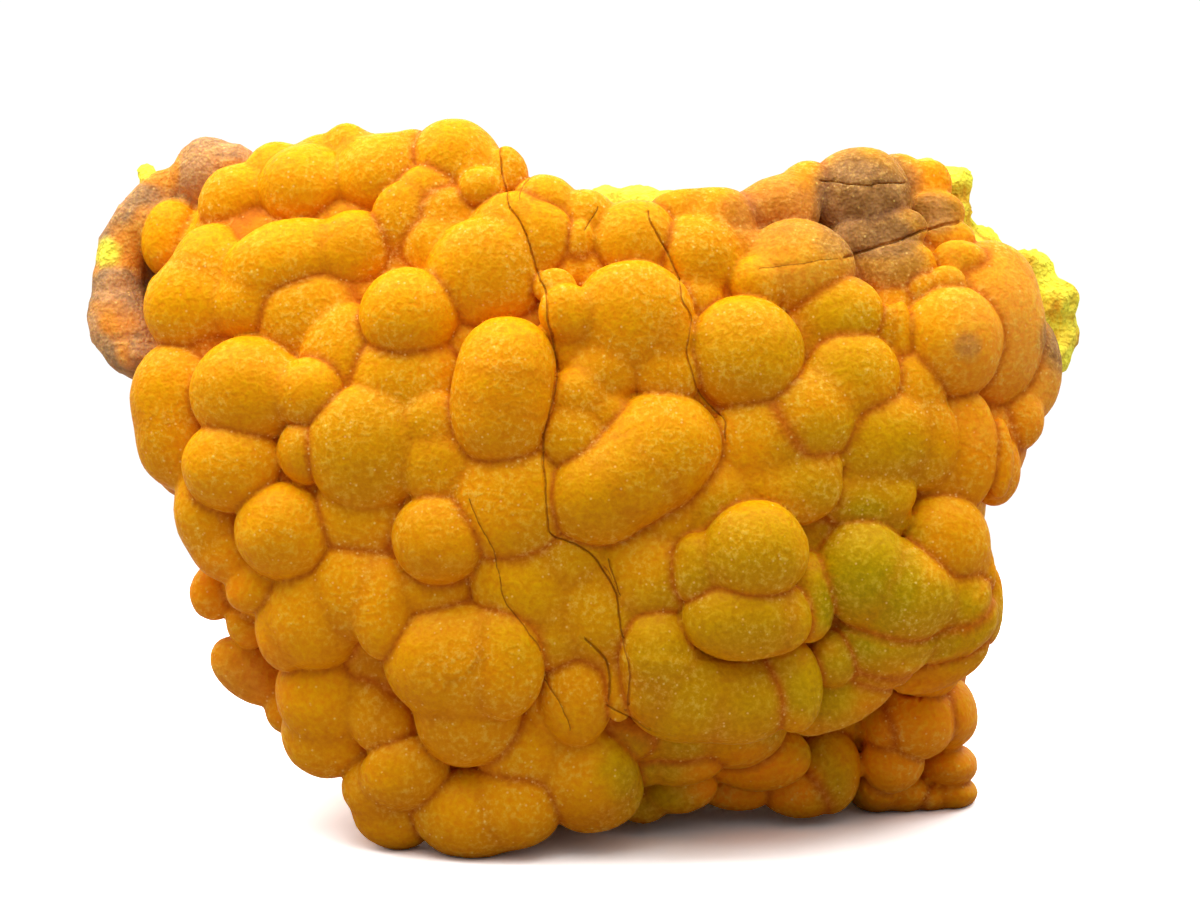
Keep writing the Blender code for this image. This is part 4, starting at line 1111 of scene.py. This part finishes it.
def stone_material():
    material = bpy.data.materials.new("smithsonite")
    graph = Graph(material)
    place = graph.add("ShaderNodeTexCoord").outputs["Object"]
    matrix = graph.mask("matrix")
    back = graph.mask("back")
    brown = graph.mask("brown")
    ear = graph.mask("ear")
    bare = graph.math("ADD", matrix, back, clamp=True)
    stained = graph.math("MAXIMUM", ear, brown)

    colour = crust_colour(graph, place)
    colour = graph.mix(ear, colour, ear_colour(graph, place))
    rusty = brown_colour(graph, place)
    colour = graph.mix(graph.math("MULTIPLY", brown, BROWN_SHARE), colour, rusty)
    fine = graph.noise(place, FINE_CELLS, 2.0, 0.7)
    frost = graph.ramp(fine, 0.50, 0.66)
    patches = graph.ramp(graph.noise(place, 200.0, 2.0), 0.40, 0.62)
    frost = graph.math("MULTIPLY", graph.math("MULTIPLY", frost, patches), FROST_SHARE)
    colour = graph.mix(frost, colour, SUGAR_WHITE)
    grains_and_painted_glints = sugar_grains_with_painted_glints(graph, place, patches)
    # Painted highlight: grains whitened to stand in for glints, as well as for pale druse
    colour = graph.mix(graph.math("MULTIPLY", grains_and_painted_glints, PAINTED_GLINT_GRAIN_SHARE), colour, SUGAR_WHITE)
    yellow = matrix_colour(graph, place)
    colour = graph.mix(back, colour, back_colour(graph, place, yellow, rusty))
    colour = graph.mix(matrix, colour, yellow)
    colour = graph.mix(SPECKLE_SHARE, colour, graph.ramp(fine, 0.3, 0.7), blend="OVERLAY")
    # Painted shade: a dark line along each crack, over its carved groove
    off_line = graph.math("ABSOLUTE", graph.mask("crack_side"))
    in_painted_crack_shade = graph.math("MULTIPLY", graph.math("LESS_THAN", off_line, PAINTED_CRACK_SHADE_FROM_MIDDLE),
                          graph.math("LESS_THAN", graph.mask("crack_reach"), PAINTED_CRACK_SHADE_FROM_LINE))
    colour = graph.mix(graph.math("MULTIPLY", in_painted_crack_shade, PAINTED_CRACK_SHADE_SHARE), colour, PAINTED_CRACK_SHADE)

    roughness = graph.number_mix(bare, CRUST_ROUGH, MATRIX_ROUGH)
    roughness = graph.number_mix(stained, roughness, STAINED_ROUGH)
    roughness = graph.number_mix(grains_and_painted_glints, roughness, GRAIN_ROUGH)

    sugar = graph.noise(place, FINE_CELLS, 1.0, 0.7)
    rough_share = graph.math("ADD", bare, graph.math("MULTIPLY", stained, 0.4), clamp=True)
    amount = graph.number_mix(rough_share, BUMP_ON_CRUST, BUMP_ON_MATRIX)
    height = graph.math("MULTIPLY", sugar, amount)
    bump = graph.add("ShaderNodeBump", Strength=0.8, Distance=BUMP_HEIGHT, Height=height)

    surface = graph.add("ShaderNodeBsdfPrincipled", {"subsurface_method": "RANDOM_WALK"},
                        Base_Color=colour, Roughness=roughness, Normal=bump.outputs["Normal"])
    surface.inputs["IOR"].default_value = 1.5
    surface.inputs["Specular IOR Level"].default_value = 0.05
    surface.inputs["Subsurface Radius"].default_value = GLOW_COLOURS
    surface.inputs["Subsurface Scale"].default_value = GLOW_REACH
    graph.join(graph.number_mix(bare, GLOW, 0.0), surface.inputs["Subsurface Weight"])
    graph.finish("ShaderNodeOutputMaterial", surface)
    return material


FLOOR_THROWN_BACK = paint(0.45, 0.45, 0.45)
FLOOR_SEEN = paint(1.7, 1.7, 1.7)
WHITE = paint(1.0, 1.0, 1.0)
WHITE_SURROUND = 1.05
FLOOR_REACH = 3.0
# Past the specimen's shadow, metres from its middle, the floor's white needs no light worked out
FLOOR_SHADOW_ENDS = (0.085, 0.115)


def floor_material():
    """White paper to the eye, as over-exposed as in the photograph; it throws less light back."""
    material = bpy.data.materials.new("floor")
    graph = Graph(material)
    seen = graph.add("ShaderNodeLightPath").outputs["Is Camera Ray"]
    tone = graph.mix(seen, FLOOR_THROWN_BACK, FLOOR_SEEN)
    near = graph.add("ShaderNodeBsdfDiffuse", Color=tone)
    far = graph.add("ShaderNodeEmission", Color=WHITE, Strength=WHITE_SURROUND)
    place = graph.add("ShaderNodeTexCoord").outputs["Object"]
    away = graph.add("ShaderNodeVectorMath", {"operation": "LENGTH"}, Vector=place).outputs["Value"]
    mixed = graph.add("ShaderNodeMixShader")
    graph.join(graph.math("MULTIPLY", seen, graph.ramp(away, *FLOOR_SHADOW_ENDS)), mixed.inputs[0])
    graph.join(near.outputs["BSDF"], mixed.inputs[1])
    graph.join(far.outputs["Emission"], mixed.inputs[2])
    graph.finish("ShaderNodeOutputMaterial", mixed)
    material.cycles.emission_sampling = "NONE"
    return material


def pale_floor():
    mesh = bpy.data.meshes.new("floor")
    corners = [(-FLOOR_REACH, -FLOOR_REACH, 0), (FLOOR_REACH, -FLOOR_REACH, 0),
               (FLOOR_REACH, FLOOR_REACH, 0), (-FLOOR_REACH, FLOOR_REACH, 0)]
    mesh.from_pydata(corners, [], [(0, 1, 2, 3)])
    mesh.materials.append(floor_material())
    floor = bpy.data.objects.new("floor", mesh)
    bpy.context.collection.objects.link(floor)


# Light that reaches the specimen from all round
SKY_TOP = 0.9
SKY_BEHIND = 1.15

# Lamps above the specimen: name, place in metres, size and power
LIGHTS = (
    ("above", (0.0, 0.0, 0.28), 0.18, 0.19),
    ("above front", (0.0, -0.10, 0.28), 0.18, 0.19),
    ("left", (-0.14, 0.0, 0.22), 0.12, 0.3),
    ("right", (0.14, 0.0, 0.22), 0.12, 0.14),
)
LIT = (0.0, 0.0, 0.03)


def soft_light(name, place, size, power):
    """A square light that faces the specimen's middle."""
    data = bpy.data.lights.new(name, "AREA")
    data.shape = "SQUARE"
    data.size = size
    data.energy = power
    light = bpy.data.objects.new(name, data)
    light.location = place
    light.rotation_euler = (Vector(LIT) - Vector(place)).to_track_quat("-Z", "Y").to_euler()
    bpy.context.collection.objects.link(light)


def white_surround():
    """White to the eye; as light, bright from above and behind."""
    world = bpy.data.worlds.new("surround")
    bpy.context.scene.world = world
    world.use_nodes = True
    graph = Graph(world)
    way = graph.add("ShaderNodeTexCoord").outputs["Generated"]
    parts = graph.add("ShaderNodeSeparateXYZ", Vector=way)
    upward = graph.ramp(parts.outputs["Z"], 0.0, 1.0)
    behind = graph.ramp(parts.outputs["Y"], -0.1, 0.6)
    glow = graph.math("MULTIPLY", upward, SKY_TOP)
    glow = graph.math("ADD", glow, graph.math("MULTIPLY", behind, SKY_BEHIND))
    seen = graph.add("ShaderNodeLightPath").outputs["Is Camera Ray"]
    background = graph.add("ShaderNodeBackground", Color=WHITE)
    graph.join(graph.number_mix(seen, glow, WHITE_SURROUND), background.inputs["Strength"])
    graph.finish("ShaderNodeOutputWorld", background)


def front_camera():
    """The camera of the front view, which sees 120 mm across at the specimen."""
    data = bpy.data.cameras.new("camera")
    data.sensor_width = SENSOR_WIDTH
    data.lens = SENSOR_WIDTH * VIEW_DISTANCE / VIEW_WIDTH
    data.clip_end = 20.0
    camera = bpy.data.objects.new("camera", data)
    camera.location = Vector((-ORIGIN - VIEW_DISTANCE * AXES[:, 2]) * MM)
    camera.rotation_euler = (math.pi / 2 - VIEW_LIFT, 0, 0)
    bpy.context.collection.objects.link(camera)
    bpy.context.scene.camera = camera


rock = build_rock()
rock.data.materials.append(stone_material())
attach(rock, "root")
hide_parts("smithsonite")

pale_floor()
white_surround()
for light in LIGHTS:
    soft_light(*light)
front_camera()
bpy.context.scene.view_settings.view_transform = "Standard"
